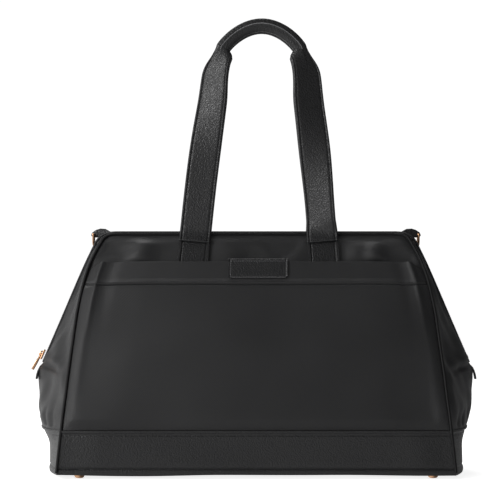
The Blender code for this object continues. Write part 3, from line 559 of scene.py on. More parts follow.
def on_pocket(x, z, lift=0.0):
    """A point on the finished front of the pocket."""
    co = panel_point(x, z, -1, pocket_off(z))
    return co + Vector(off_panel(-1)(co)) * (pocket_relief(co) + lift)


bm = bmesh.new()
hem_reach = corner_x(HEM_LINE) - PLEAT - 0.002
sew(bm, [on_pocket(hem_reach * (i / 60 - 1), HEM_LINE, 0.0003) for i in range(121)],
    off_panel(-1), 0.0030, (0.0021, 0.0006, 0.0006))
# Unwaxed and matt, coloured near black, darker than the cloth: its dark dashes are painted shade for the groove
# it lies in.
hem_thread_painted_shade = dyed_thread("hem_thread_in_painted_shade", "070708", 0.7)
hem_stitches = piece("pocket_hem_stitches", bm, hem_thread_painted_shade)
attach(hem_stitches, "front_jaw")

# ---- Leather -----------------------------------------------------------------------------------
# All the trim is one black pebbled leather. The band round the base is one strip, turned over and
# stitched at its top, with a seam above its lower lip, which ripples a little between the feet.

LEATHER_COLOUR = "141415"
LEATHER_TOPS_PAINTED_HIGHLIGHT = "1d1d1e"
PEBBLE = 0.0014
# Embossed split leather under a thin polyurethane coat: rounded grains of 0.8 mm, drawn at 1.4 mm so
# that they show, slightly shinier on their tops, with a painted highlight on their tops and painted
# shade in the creases between them.
pebbled_leather, tree = new_material("pebbled_leather", LEATHER_COLOUR, Roughness=0.40, IOR=1.5)
where = node(tree, "TexCoord").outputs
wander = node(tree, "TexNoise", {"Vector": where["Object"], "Scale": 300.0, "Detail": 2.0})
shifted = node(tree, "Mix", {0: 0.0012, 4: where["Object"], 5: wander.outputs["Color"]}, data_type="VECTOR")
grain = node(tree, "TexVoronoi", {"Vector": shifted.outputs[1], "Scale": 1 / PEBBLE}, feature="SMOOTH_F1")
tops = node(tree, "MapRange", {
    "Value": grain.outputs["Distance"], "From Min": 0.15, "From Max": 0.75, "To Min": 1.0, "To Max": 0.0,
}, interpolation_type="SMOOTHSTEP")
# The grain's tops are painted lighter and its creases darker: painted highlight and painted shade.
node(tree, "Mix", {0: tops.outputs[0], 6: linear(LEATHER_COLOUR), 7: linear(LEATHER_TOPS_PAINTED_HIGHLIGHT)},
     into="Base Color", out=2, data_type="RGBA")
node(tree, "MapRange", {"Value": tops.outputs[0], "To Min": 0.46, "To Max": 0.30}, into="Roughness")
node(tree, "Bump", {"Height": tops.outputs[0], "Strength": 0.6, "Distance": 0.00042}, into="Normal")

BAND_COLUMNS = 96
BAND_FOOT = BASE_HEIGHT - 0.0008
BAND_ROWS = steps(BAND_FOOT, (0.0150, 14), (BAND_TOP - 0.0075, 12), (BAND_TOP, 16))
BAND_THICKNESS = 0.0019
BAND_SEAM = 0.0118
BAND_TURNED_RISE = 0.0014
BAND_SWELL = 0.0030
BAND_STITCH_INSET = 0.0048
TRIM_THICKNESS = 0.0018


def band_point(u, v):
    """Round the base once: front, right gusset, back, left gusset."""
    z = BAND_ROWS[round(v * (len(BAND_ROWS) - 1))]
    quarter = min(3, int(u * 4))
    share = u * 4 - quarter
    depth, corner = half_depth(z), corner_x(z)
    if quarter % 2 == 0:
        side = -1 if quarter == 0 else 1
        return Vector((-side * (2 * share - 1) * corner, side * depth, z))
    hand = 1 if quarter == 1 else -1
    y = hand * (2 * share - 1) * depth
    return Vector((hand * (gusset_x(z, y) + band_flare(hand, y, z)), y, z))


def band_relief(co):
    """The turned edge, the grooves of both seams, and the ripple of the lip."""
    top = BAND_TOP - co.z
    turned = BAND_TURNED_RISE * smooth((0.0036 - top) / 0.0014) - 0.0006 * bump(top - 0.0050, 0.0009)
    seam = -0.0013 * bump(co.z - BAND_SEAM, 0.0011) + 0.0007 * bump(co.z - 0.0080, 0.0022)
    slack = 0.0008 * waver(co.x * 12, co.y * 12, co.z * 25)
    inside = corner_x(co.z) - abs(co.x) if abs(abs(co.y) - half_depth(co.z)) < 1e-4 else 0.0
    stuffed = BAND_SWELL * smooth(inside / 0.046) * (1 - 0.6 * smooth((0.018 - co.z) / 0.01))
    return turned + seam + slack + stuffed


band = cloth(
    "base_band", band_point, (BAND_COLUMNS * 4, len(BAND_ROWS) - 1), (1.35, 0.05), pebbled_leather,
    lambda co: (co.x, co.y * 3, 0), band_relief,
)
for vert in band.data.vertices:
    low = smooth((0.0115 - vert.co.z) / 0.006)
    vert.co.z -= low * (0.0009 + 0.0011 * waver(vert.co.x * 11 + 0.4, vert.co.y * 6, 0.5))
thicken(band, BAND_THICKNESS, edge=0.0007)
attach(band, "base")
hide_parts("base_band_front", "base_band_back", "base_band_left", "base_band_right")

STITCH_ROUND = 120


def off_band(at):
    """Straight out on the front and back, and mostly sideways on the gussets."""
    if abs(at.y) > BASE_HALF_DEPTH - 0.0001:
        return at.x / 3, at.y, 0
    return at.x * 4, at.y / 2, 0


bm = bmesh.new()
band_share = (BAND_TOP - BAND_STITCH_INSET - BAND_FOOT) / (BAND_TOP - BAND_FOOT)
ring = [band_point(i / STITCH_ROUND, band_share) for i in range(STITCH_ROUND + 1)]
sew(bm, ring, off_band)
band_stitches = piece("band_stitches", bm, bonded_thread)
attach(band_stitches, "base")


def bottom_point(u, v):
    """The bottom from above: straight front and back, rounded at the gussets, dipping between the feet."""
    y = (2 * v - 1) * (BASE_HALF_DEPTH - 0.0024)
    x = (2 * u - 1) * (gusset_x(BASE_HEIGHT, y) - 0.0024)
    dip = 0.0014 * math.cos(x / 0.22 * math.pi / 2) * math.cos(y / 0.105 * math.pi / 2)
    return Vector((x, y, BASE_HEIGHT - dip))


bottom = cloth(
    "bottom_panel_leather", bottom_point, (60, 28), (0.46, 0.21), pebbled_leather,
    lambda co: (0, 0, -1),
)
thicken(bottom, TRIM_THICKNESS)
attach(bottom, "base")
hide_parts("bottom_panel")

# ---- Piping ------------------------------------------------------------------------------------
# A cord wrapped in the same leather and caught in each corner seam. It runs from the base, through
# the band, up past the pocket, and turns in under the hem at the top.

PIPING_RADIUS = 0.0016
PIPING_LIFT = 0.0004


def tube(name, points, radius, material, cyclic=False, resolution=4):
    """A round cord or wire along points, as a mesh."""
    curve = bpy.data.curves.new(name + "_line", "CURVE")
    curve.dimensions = "3D"
    curve.bevel_depth = radius
    curve.bevel_resolution = resolution
    curve.use_fill_caps = not cyclic
    spline = curve.splines.new("POLY")
    spline.points.add(len(points) - 1)
    spline.use_cyclic_u = cyclic
    for knot, point in zip(spline.points, points):
        knot.co = (*point, 1)
    guide = bpy.data.objects.new(name + "_guide", curve)
    scene.collection.objects.link(guide)
    made = bpy.data.meshes.new_from_object(guide.evaluated_get(bpy.context.evaluated_depsgraph_get()))
    bpy.data.objects.remove(guide)
    bpy.data.curves.remove(curve)
    bm = bmesh.new()
    bm.from_mesh(made)
    bpy.data.meshes.remove(made)
    bmesh.ops.remove_doubles(bm, verts=bm.verts, dist=MERGE_REACH)
    bmesh.ops.recalc_face_normals(bm, faces=bm.faces)
    return piece(name, bm, material)


# The same leather rolled tight round its cord, smoother, with its colour painted near black as painted shade
# for the seam it lies in.
piping_in_painted_shade, tree = new_material("rolled_cover_painted_shade", "060607", Roughness=0.66, IOR=1.45)
where = node(tree, "TexCoord").outputs
grain = node(tree, "TexNoise", {"Vector": where["Object"], "Scale": 900.0, "Detail": 2.0})
node(tree, "Bump", {"Height": grain.outputs["Fac"], "Strength": 0.4, "Distance": 0.0002}, into="Normal")

PIPING_CORNER = 0.0085
for side, word in SIDES:
    half_line = []
    for z in steps(BASE_HEIGHT + 0.001, (TOP_SEAM - PIPING_CORNER, 100)):
        stray = 0.0004 * waver(side * 2, 3.0, z * 30)
        half_line.append(Vector((corner_x(z) + PIPING_LIFT + stray, z)))
    start = half_line[-1]
    lean = (half_line[-1] - half_line[-2]).normalized()
    knee = start + lean * PIPING_CORNER * 0.75
    end = Vector((corner_x(TOP_SEAM) - PIPING_CORNER, TOP_SEAM))
    for i in range(1, 11):
        t = i / 10
        half_line.append((1 - t) ** 2 * start + 2 * (1 - t) * t * Vector((knee.x, TOP_SEAM)) + t * t * end)
    half_line += [Vector((end.x * (1 - i / 40), TOP_SEAM)) for i in range(1, 41)]
    line = [Vector((-p.x, p.y)) for p in half_line] + list(reversed(half_line[:-1]))
    cord = tube(
        f"{word}_piping", [(p.x, side * (half_depth(p.y) + PIPING_LIFT), p.y) for p in line],
        PIPING_RADIUS, piping_in_painted_shade,
    )
    for vert in cord.data.vertices:
        inner = smooth((corner_x(TOP_SEAM) - 0.004 - abs(vert.co.x)) / 0.010)
        inner *= smooth((vert.co.z - 0.262) / 0.006)
        middle = Vector((vert.co.x, side * (half_depth(TOP_SEAM) + 0.0002), TOP_SEAM))
        vert.co = vert.co.lerp(middle + (vert.co - middle) * 0.55, inner)
    across_mouth(cord)
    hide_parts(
        f"{word}_piping_left_lower", f"{word}_piping_left_upper", f"{word}_piping_right_lower",
        f"{word}_piping_right_upper",
    )

# ---- Feet --------------------------------------------------------------------------------------
# Four turned brass studs in a rose finish. Each is a low dome on a short neck, riveted through the
# bottom and the board.

FOOT_X = BASE_HALF_WIDTH - 0.0247
FOOT_Y = 0.086
# Plated brass with a rose tint, polished: sharp reflections with fine wear.
rose_brass, tree = new_material("rose_brass", "d3a783", Metallic=1.0, Roughness=0.20)
where = node(tree, "TexCoord").outputs
wear = node(tree, "TexNoise", {"Vector": where["Object"], "Scale": 420.0, "Detail": 4.0})
node(tree, "MapRange", {
    "Value": wear.outputs["Fac"], "From Min": 0.3, "From Max": 0.7, "To Min": 0.14, "To Max": 0.30,
}, into="Roughness")

for side, word in SIDES:
    for hand, name in HANDS:
        bm = bmesh.new()
        profile = [(0.0, 0.0), (0.0028, 0.0), (0.0042, 0.0004), (0.0052, 0.0013), (0.0058, 0.0028),
                   (0.0057, 0.0038), (0.0048, 0.0045), (0.0033, 0.0049), (0.0032, 0.0066), (0.0, 0.0066)]
        verts = [bm.verts.new((r, 0, z)) for r, z in profile]
        edges = [bm.edges.new(pair) for pair in zip(verts, verts[1:])]
        bmesh.ops.spin(bm, geom=verts + edges, cent=(0, 0, 0), axis=(0, 0, 1), angle=2 * math.pi,
                       steps=40, use_merge=True)
        bmesh.ops.remove_doubles(bm, verts=bm.verts, dist=MERGE_REACH)
        bmesh.ops.recalc_face_normals(bm, faces=bm.faces)
        bmesh.ops.translate(bm, vec=(hand * FOOT_X, side * FOOT_Y, 0), verts=bm.verts)
        foot = piece(f"stud_foot_{word}_{name}", bm, rose_brass, sharp=40)
        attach(foot, "base")
        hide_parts(f"foot_{word}_{name}")

# ---- Patch -------------------------------------------------------------------------------------
# A small leather patch, left bare. It is folded over the pocket's hem from behind, with its edges
# turned under, its lower corners rounded and one line of stitches all round.

PATCH_HALF = 0.034
PATCH_DROP = 0.0205
PATCH_X = 0.0022
PATCH_CORNER = 0.0038
PATCH_INSET = 0.0023
PATCH_THICKNESS = 0.0015


def patch_half(drop_left):
    """Half the patch's width at this height over its lower edge."""
    if drop_left >= PATCH_CORNER:
        return PATCH_HALF
    return PATCH_HALF - PATCH_CORNER + math.sqrt(max(0.0, PATCH_CORNER**2 - (PATCH_CORNER - drop_left) ** 2))


PATCH_MIDDLE = POCKET_TOP - PATCH_DROP / 2
PATCH_SEAT = on_pocket(PATCH_X, PATCH_MIDDLE) - panel_point(PATCH_X, PATCH_MIDDLE, -1)
PATCH_FACE = PATCH_SEAT.length + 0.0018
PATCH_TOP = POCKET_TOP + 0.0012
PATCH_BEND = 0.0017


def patch_point(u, v):
    """Up the front of the hem for the first four fifths of v, then back over its edge."""
    if v <= 0.8:
        z = PATCH_TOP - PATCH_DROP * (1 - v / 0.8)
        half = patch_half(z - (PATCH_TOP - PATCH_DROP))
        return panel_point(PATCH_X + (2 * u - 1) * half, z, -1, PATCH_FACE)
    turn = (v - 0.8) / 0.2 * math.pi / 2
    z = PATCH_TOP + PATCH_BEND * math.sin(turn)
    off = PATCH_FACE - PATCH_BEND * (1 - math.cos(turn))
    return panel_point(PATCH_X + (2 * u - 1) * PATCH_HALF, z, -1, off)


def patch_relief(co):
    inset = min(PATCH_HALF - abs(co.x - PATCH_X), co.z - 0.0025 - (PATCH_TOP - PATCH_DROP))
    return 0.0004 * (1 - smooth((inset - 0.0010) / 0.0014)) - 0.0004 * bump(inset - PATCH_INSET, 0.0007)


patch = cloth(
    "patch", patch_point, (96, 40), (0.068, 0.024), pebbled_leather, lambda co: (0, -1, 0),
    patch_relief,
)
thicken(patch, PATCH_THICKNESS, edge=0.0005)
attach(patch, "front_jaw")
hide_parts("leather_patch")

bm = bmesh.new()
half, drop, cut = PATCH_HALF - PATCH_INSET, PATCH_DROP - PATCH_INSET, 0.0016
corners = [(half, 0.0), (half, cut - drop), (half - cut, -drop), (cut - half, -drop), (-half, cut - drop),
           (-half, 0.0), (half, 0.0)]
outline = [panel_point(PATCH_X + x, PATCH_TOP - cut + z, -1, PATCH_FACE) for x, z in corners]
sew(bm, outline, off_panel(-1), 0.0026, (0.0019, 0.0005, 0.0005))
# The same waxed thread in a pale grey, which draws the patch's outline.
pale_thread = dyed_thread("pale_bonded_thread", "6c6c6e", 0.42)
patch_stitches = piece("patch_stitches", bm, pale_thread)
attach(patch_stitches, "front_jaw")

# ---- Handles -----------------------------------------------------------------------------------
# Each handle is one long leather strap, its edges turned and stitched. At the grip it is folded in
# half and sewn shut. Its ends are stitched to leather facings that run down behind the pocket.

STRAP_WIDTH = 0.0358
STRAP_THICKNESS = 0.0036
GRIP_DEPTH = 0.0156
GRIP_THICKNESS = 0.0094
HANDLE_HINGE = BODY_HEIGHT - 0.0045
HANDLE_APEX = BODY_HEIGHT + 0.2365
HANDLE_HALF_SPREAD = 0.0785
GRIP_HALF_SPREAD = 0.0435
GRIP_FOOT = HANDLE_APEX - 0.0253
GRIP_FLARE = 0.0215
GRIP_TAPER = 0.036
GRIP_NOTCH = 0.0085
GRIP_PULLS = ((0.0065 - GRIP_HALF_SPREAD, HANDLE_APEX - 0.0153), (0.0235 - GRIP_HALF_SPREAD, HANDLE_APEX))
FACING_FOOT, FACING_HEAD = POCKET_TOP - 0.043, 0.2700
STRAP_END = 0.2645
STRAP_PLANE = half_depth(HANDLE_HINGE) + 0.0024
FACING_LIFT = 0.0026
STRAP_STAND_OFF = 0.0049
SEAT_TOP, SEAT_FADE = 0.262, 0.024
STRAP_ROWS = steps(STRAP_END, (0.290, 14), (0.440, 44), (GRIP_FOOT, 34))
GRIP_ROWS = 28
EDGE_STEPS = (
    0.0, 0.0002, 0.0006, 0.0012, 0.0019, 0.0025, 0.0029, 0.0033, 0.0038, 0.0046, 0.0060, 0.0082, 0.0104, 0.0117,
    0.0123, 0.0129, 0.0145,
)
STRAP_STITCH_INSET = 0.0027
GRIP_RIM_EDGE, GRIP_RIM_RADIUS = 0.0123, 0.00055
GRIP_STITCH_EDGE = 0.0140
TWIST_TOP = math.radians(26)
TWIST_RIGHT_FOOT = math.radians(-24)
TWIST_LEFT_FOOT = math.radians(3)


def strap_half(z):
    """Half the distance between the two straps of a handle, below its grip."""
    rise = (z - FACING_FOOT) / (GRIP_FOOT - FACING_FOOT)
    drawn_in = 0.62 * rise + 0.38 * rise**3
    spread = HANDLE_HALF_SPREAD - (HANDLE_HALF_SPREAD - GRIP_HALF_SPREAD) * drawn_in
    return spread + 0.0015 * bump(z - 0.456, 0.026)


def handle_shift(z):
    """How far the straps stand to the right of the middle, a little more at the grip."""
    return HANDLE_SHIFT + 0.0035 * (z - HANDLE_HINGE) / (HANDLE_APEX - HANDLE_HINGE)


def bezier(points, t):
    weights = ((1 - t) ** 3, 3 * (1 - t) ** 2 * t, 3 * (1 - t) * t**2, t**3)
    return Vector([sum(w * p[k] for w, p in zip(weights, points)) for k in (0, 1)])


def handle_line():
    """(x, z) of the strap's centre line: up on the left, over the grip, and down on the right."""
    left = [Vector((-strap_half(z), z)) for z in STRAP_ROWS]
    grip = ((-strap_half(GRIP_FOOT), GRIP_FOOT), *GRIP_PULLS, (0.0, HANDLE_APEX))
    left += [bezier(grip, i / GRIP_ROWS) for i in range(1, GRIP_ROWS + 1)]
    return left + [Vector((-p.x, p.y)) for p in reversed(left[:-1])]


def strap_y(z):
    """How far out of the middle plane the strap lies: on its facing at the foot, then upright."""
    return between(half_depth(z) + STRAP_STAND_OFF, STRAP_PLANE, smooth((z - SEAT_TOP) / SEAT_FADE))


def folded_share(z):
    """0 where the strap lies flat, 1 where it is folded in half."""
    return smooth((z - GRIP_FOOT + GRIP_FLARE) / GRIP_FLARE)


def twist_at(z, hand):
    """How far the strap's face turns outwards: least at its foot, most just under the grip."""
    foot = TWIST_LEFT_FOOT if hand < 0 else TWIST_RIGHT_FOOT
    turned_from, reach = (0.345, 0.095) if hand < 0 else (0.300, 0.130)
    turn = between(foot, TWIST_TOP if hand < 0 else 0.7 * TWIST_TOP, smooth((z - turned_from) / reach))
    return turn * smooth((z - 0.267) / 0.024) * (1 - smooth((z - GRIP_FOOT + 0.016) / 0.016))


def strap_section():
    """The section as (share across, from the nearer edge, side of the face), once round."""
    half = STRAP_WIDTH / 2
    across = [(1 - e / half, e) for e in EDGE_STEPS] + [(0.0, half)]
    across += [(e / half - 1, e) for e in reversed(EDGE_STEPS)]
    return [(s, e, 1) for s, e in across] + [(s, e, -1) for s, e in reversed(across[1:-1])]


STRAP_SECTION = strap_section()
HANDLE_LINE = handle_line()


def section_point(s, from_edge, face, folded, tapered, closed):
    """Across the strap and off its middle: stitched edges when flat, one layer on the other when folded."""
    flat = STRAP_THICKNESS / 2 * min(1.0, (from_edge / 0.0012)) ** 0.4
    flat += 0.00035 * smooth((0.0030 - from_edge) / 0.0010) * smooth(from_edge / 0.0006)
    flat -= 0.00075 * bump(from_edge - STRAP_STITCH_INSET - 0.0006, 0.0006)
    rounded = GRIP_THICKNESS / 2 * max(0.0, 1 - abs(s) ** 2.8) ** 0.45
    if face > 0:
        rounded *= 1 - 0.50 * smooth((-0.27 - s) / 0.04)
        rounded += 0.0005 * bump(s + 0.22, 0.05)
    narrowed = closed if s > 0 else tapered
    return s * between(STRAP_WIDTH, GRIP_DEPTH, narrowed) / 2, face * between(flat, rounded, folded)


def handle_place(row, s, from_edge, face, side):
    """A point of the strap's surface in the bag's frame."""
    centre = HANDLE_LINE[row]
    along = (HANDLE_LINE[min(row + 1, len(HANDLE_LINE) - 1)] - HANDLE_LINE[max(row - 1, 0)]).normalized()
    across = Vector((along.y, -along.x))
    hand = -1 if row <= len(HANDLE_LINE) // 2 else 1
    folded = folded_share(centre.y)
    turn = twist_at(centre.y, hand)
    tapered = smooth((centre.y - GRIP_FOOT + GRIP_TAPER) / GRIP_TAPER) ** 1.25
    shut = smooth((centre.y - GRIP_FOOT + GRIP_NOTCH) / GRIP_NOTCH)
    closed = between(0.44 * smooth((centre.y - 0.425) / 0.050), 1, shut)
    a, b = section_point(s, from_edge, face, folded, tapered, closed)
    a, b = a * math.cos(turn) - b * math.sin(turn), a * math.sin(turn) + b * math.cos(turn)
    sway = 0.0006 * waver(centre.x * 8, 0.7, centre.y * 11)
    cup = 0.0006 * (1 - s * s) * waver(centre.x * 5, 3.7, centre.y * 24)
    cup *= smooth((centre.y - 0.285) / 0.03)
    out = strap_y(centre.y) + sway + b + cup * (1 - folded)
    return Vector((centre.x + handle_shift(centre.y) + across.x * a, side * out, centre.y + across.y * a))


def handle_point(u, v, side):
    s, from_edge, face = STRAP_SECTION[round(u * len(STRAP_SECTION)) % len(STRAP_SECTION)]
    return handle_place(round(v * (len(HANDLE_LINE) - 1)), s, from_edge, face, side)


def strap_edge_line(hand, edge, face, side):
    """One stitch line: hand -1 left or 1 right, edge 1 inner or -1 outer, face 1 outside or -1 inside."""
    from_edge = STRAP_STITCH_INSET + 0.0006
    s = edge * (1 - from_edge / (STRAP_WIDTH / 2))
    rows = [i for i in range(len(STRAP_ROWS)) if folded_share(STRAP_ROWS[i]) < 0.3]
    return [handle_place(i if hand < 0 else len(HANDLE_LINE) - 1 - i, s, from_edge, face, side) for i in rows]


def over_hinge(obj):
    """Bakes a piece's transform into its mesh."""
    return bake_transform(obj)


# A bead along the folded grip's one free edge, buffed: its pale grey, paler than the grain beside it, is a
# painted highlight where that edge catches the light.
edge_bead_painted_highlight, tree = new_material("edge_bead_painted_highlight", "58585a", Roughness=0.32, IOR=1.5)
where = node(tree, "TexCoord").outputs
rim_roughness_noise = node(tree, "TexNoise", {"Vector": where["Object"], "Scale": 500.0, "Detail": 3.0})
node(tree, "MapRange", {"Value": rim_roughness_noise.outputs["Fac"], "To Min": 0.24, "To Max": 0.46}, into="Roughness")

for side, word in SIDES:
    handle = cloth(
        f"{word}_strap", lambda u, v: handle_point(u, v, side),
        (len(STRAP_SECTION), len(HANDLE_LINE) - 1), (0.08, 0.62), pebbled_leather,
        lambda co: (0, side if abs(co.y) > STRAP_PLANE else -side, 0),
    )
    bm = bmesh.new()
    bm.from_mesh(handle.data)
    bmesh.ops.holes_fill(bm, edges=bm.edges)
    bmesh.ops.recalc_face_normals(bm, faces=bm.faces)
    bm.to_mesh(handle.data)
    bm.free()
    over_hinge(handle)
    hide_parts(f"{word}_handle")
    folded_rows = [i for i in range(len(HANDLE_LINE)) if folded_share(HANDLE_LINE[i].y) > 0.93]
    # The bead's pale colour is a painted highlight along the grip's free edge.
    rim = tube(
        f"{word}_grip_rim", [handle_place(i, -0.25, GRIP_RIM_EDGE, 1, side) for i in folded_rows],
        GRIP_RIM_RADIUS, edge_bead_painted_highlight, resolution=2,
    )
    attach(rim, f"{word}_handle")
    bm = bmesh.new()
    sew(bm, [handle_place(i, -0.08, GRIP_STITCH_EDGE, 1, side) for i in folded_rows], lambda at: (0, side, 0))
    for hand, edge, face in itertools.product((-1, 1), repeat=3):
        sew(bm, strap_edge_line(hand, edge, face, side), lambda at: (0, face * side, 0))
    for row in (0.0022, 0.0068):
        for hand in (-1, 1):
            z = STRAP_END + row
            centre = hand * strap_half(z) + handle_shift(z)
            reach = STRAP_WIDTH / 2 - STRAP_STITCH_INSET
            y = side * (strap_y(z) + STRAP_THICKNESS / 2)
            sew(bm, [Vector((centre + x, y, z)) for x in (-reach, reach)], off_panel(side))
    threads = piece(f"{word}_strap_stitches", bm, bonded_thread)
    over_hinge(threads)
    for hand, name in HANDS:

        def facing_point(u, v):
            z = between(FACING_FOOT, FACING_HEAD, v)
            skived = 0.0016 * smooth((z - 0.2655) / 0.004)
            x = hand * strap_half(z) + handle_shift(z) + (u - 0.5) * STRAP_WIDTH
            return panel_point(x, z, side, FACING_LIFT - skived)

        def facing_relief(co):
            middle = hand * strap_half(co.z) + handle_shift(co.z)
            inset = STRAP_WIDTH / 2 - abs(co.x - middle)
            rail = 0.0006 * smooth((0.0040 - inset) / 0.0008)
            return rail - 0.0006 * bump(inset - 0.0044, 0.0006)

        facing = cloth(
            f"{word}_facing_{name}", facing_point, (70, 40), (STRAP_WIDTH, 0.07), pebbled_leather,
            lambda co: (0, side, 0), facing_relief,
        )
        thicken(facing, TRIM_THICKNESS, edge=0.0004)
        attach(facing, f"{word}_jaw")
        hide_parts(f"{word}_handle_facing_{name}")

# ---- Mouth edge and zip ------------------------------------------------------------------------
# Each jaw's cloth is rolled over the zip's woven tape all the way from gusset to gusset. The coil is
# a row of moulded nylon teeth that lock between each other; its slider and bar pull are brass.

ZIP_START = FOLD_HEIGHT + 0.0035
TOOTH_PITCH = 0.0022
TOOTH_SIZE = (0.00096, 0.0030, 0.0014)
TOOTH_DEPTH = 0.0011
TAPE_EDGE = 0.0086
TAPE_DEPTH = 0.0018
TAPE_THICKNESS = 0.0007
ROLL_RADIUS = 0.0013


def zip_line(start=ZIP_START):
    """(x, z) along the whole zip, from the left gusset over the top to the right."""
    half = [Vector((-ridge_x(z), z)) for z in (between(start, ZIP_CORNER, i / 60) for i in range(61))]
    top = TOP_HALF_WIDTH - ZIP_CORNER_REACH
    for i in range(1, 17):
        z = ZIP_TOP - (ZIP_TOP - ZIP_CORNER) * (1 - i / 16) ** 2
        half.append(Vector((-ridge_x(z), z)))
    half += [Vector((-top * (1 - i / 60), ZIP_TOP)) for i in range(1, 61)]
    return half + [Vector((-p.x, p.y)) for p in reversed(half[:-1])]


ZIP_LINE = zip_line()


def zip_normal(i):
    along = (ZIP_LINE[min(i + 1, len(ZIP_LINE) - 1)] - ZIP_LINE[max(i - 1, 0)]).normalized()
    return Vector((-along.y, along.x))


# A flat woven polyester tape with a ribbed face.
zip_weave, tree = new_material("polyester_tape", "131314", Roughness=0.72, IOR=1.58)
where = node(tree, "TexCoord").outputs
ribs = node(tree, "TexWave", {"Vector": where["UV"], "Scale": WAVE_LENGTH / 0.0012}, bands_direction="X")
node(tree, "Bump", {"Height": ribs.outputs["Fac"], "Strength": 0.5, "Distance": 0.0003}, into="Normal")
# Drawn nylon monofilament: smoother and a little shinier than its tape.
coil_nylon, tree = new_material("nylon_coil", "1b1b1c", Roughness=0.34, IOR=1.53)
where = node(tree, "TexCoord").outputs
scuff = node(tree, "TexNoise", {"Vector": where["Object"], "Scale": 700.0})
node(tree, "MapRange", {"Value": scuff.outputs["Fac"], "To Min": 0.26, "To Max": 0.44}, into="Roughness")


def zip_length():
    return sum((b - a).length for a, b in zip(ZIP_LINE, ZIP_LINE[1:]))


def over_corner(z):
    """0 on the gusset and 1 on the bag's top."""
    return smooth((z - ZIP_CORNER) / (ZIP_TOP - ZIP_CORNER))


def sunk(z, y):
    """How far the gusset's cloth lies inside the zip line at y."""
    low = min(z, ZIP_CORNER)
    return (ridge_x(low) - gusset_x(low, y)) * (1 - over_corner(z))


for side, word in SIDES:

    def tape_point(u, v):
        i = round(u * (len(ZIP_LINE) - 1))
        y = between(0.0002, TAPE_EDGE, v)
        x, z = ZIP_LINE[i]
        out = zip_normal(i) * -TAPE_DEPTH
        return Vector((x + out.x - math.copysign(sunk(z, y), x), side * y, z + out.y))

    tape = cloth(
        f"{word}_zip_tape", tape_point, (len(ZIP_LINE) - 1, 3), (zip_length(), 0.007), zip_weave,
        lambda co: (co.x, 0, 0.3),
    )
    thicken(tape, TAPE_THICKNESS)
    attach(tape, f"{word}_jaw")
    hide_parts(f"zip_tape_{word}")

    bm = bmesh.new()
    travelled = TOOTH_PITCH * (0.25 if side < 0 else 0.75)
    for i, (a, b) in enumerate(zip(ZIP_LINE, ZIP_LINE[1:])):
        step = b - a
        length = step.length
        while travelled < length:
            at = a + step * (travelled / length)
            out = zip_normal(i)
            along = Vector((step.x, 0, step.y)).normalized()
            up = Vector((out.x, 0, out.y))
            middle = (at.x - out.x * TOOTH_DEPTH, side * 0.0011, at.y - out.y * TOOTH_DEPTH)
            add_grain(bm, middle, along, up.cross(along), up, TOOTH_SIZE, 2)
            travelled += TOOTH_PITCH
        travelled -= length
    teeth = piece(f"{word}_zip_teeth", bm, coil_nylon)
    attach(teeth, f"{word}_jaw")
    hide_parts(f"zip_coil_{word}")

    points = []
    for i in range(0, len(ZIP_LINE), 2):
        x, z = ZIP_LINE[i]
        on_top = over_corner(z)
        y = between(ZIP_EDGE + 0.0006, 0.0108, on_top)
        points.append((x - math.copysign(sunk(z, ZIP_EDGE), x), side * y, z + 0.0010 * on_top))
    roll = tube(f"{word}_mouth_roll", points, ROLL_RADIUS, satin_nylon, resolution=3)
    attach(roll, f"{word}_jaw")


def finish_cad(name, material):
    """Gives one of the CAD's own solids its material."""
    for material_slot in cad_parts[name].material_slots:
        material_slot.material = material


finish_cad("zip_slider", rose_brass)

# The pull is a cast bar, drilled at its top for the slider's bow, with its edges rounded over.
PULL_PIVOT = Vector((-0.2469, 0.0, 0.13555))
PULL_LEAN = math.radians(29)
PULL_LENGTH = 0.0215
PULL_BAR = PULL_LENGTH - 0.0040
bm = bmesh.new()
bmesh.ops.create_cube(bm, size=1)
bmesh.ops.scale(bm, vec=(0.0031, 0.0052, PULL_BAR), verts=bm.verts)
uprights = [e for e in bm.edges if abs(e.verts[0].co.z - e.verts[1].co.z) > 0.01]
bmesh.ops.subdivide_edges(bm, edges=uprights, cuts=5)
for vert in bm.verts:
    low_share = 0.5 - vert.co.z / PULL_BAR
    vert.co.x *= between(0.62, 1.0, smooth(low_share * 2.5))
    vert.co.y *= between(0.60, 1.0, smooth(low_share * 2.0))
bmesh.ops.bevel(bm, geom=bm.edges[:], offset=0.0006, segments=2, affect="EDGES", profile=0.5, material=-1)
bmesh.ops.translate(bm, vec=(0, 0, -PULL_LENGTH / 2 - 0.0012), verts=bm.verts)
for vec in ((0, 0.0017, -0.0016), (0, -0.0017, -0.0016)):
    bmesh.ops.create_cone(
        bm, segments=16, radius1=0.0010, radius2=0.0010, depth=0.0052,
        matrix=Matrix.Translation(vec), cap_ends=True,
    )
bmesh.ops.rotate(bm, cent=(0, 0, 0), matrix=Matrix.Rotation(PULL_LEAN, 3, "Y"), verts=bm.verts)
bmesh.ops.translate(bm, vec=PULL_PIVOT, verts=bm.verts)
pull = piece("bar_pull", bm, rose_brass, sharp=35)
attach(pull, "zip_pull")
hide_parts("zip_pull")

# ---- Zip ends ----------------------------------------------------------------------------------
# The zip's two ends are closed under the gusset folds by tabs of folded nylon, sewn across.

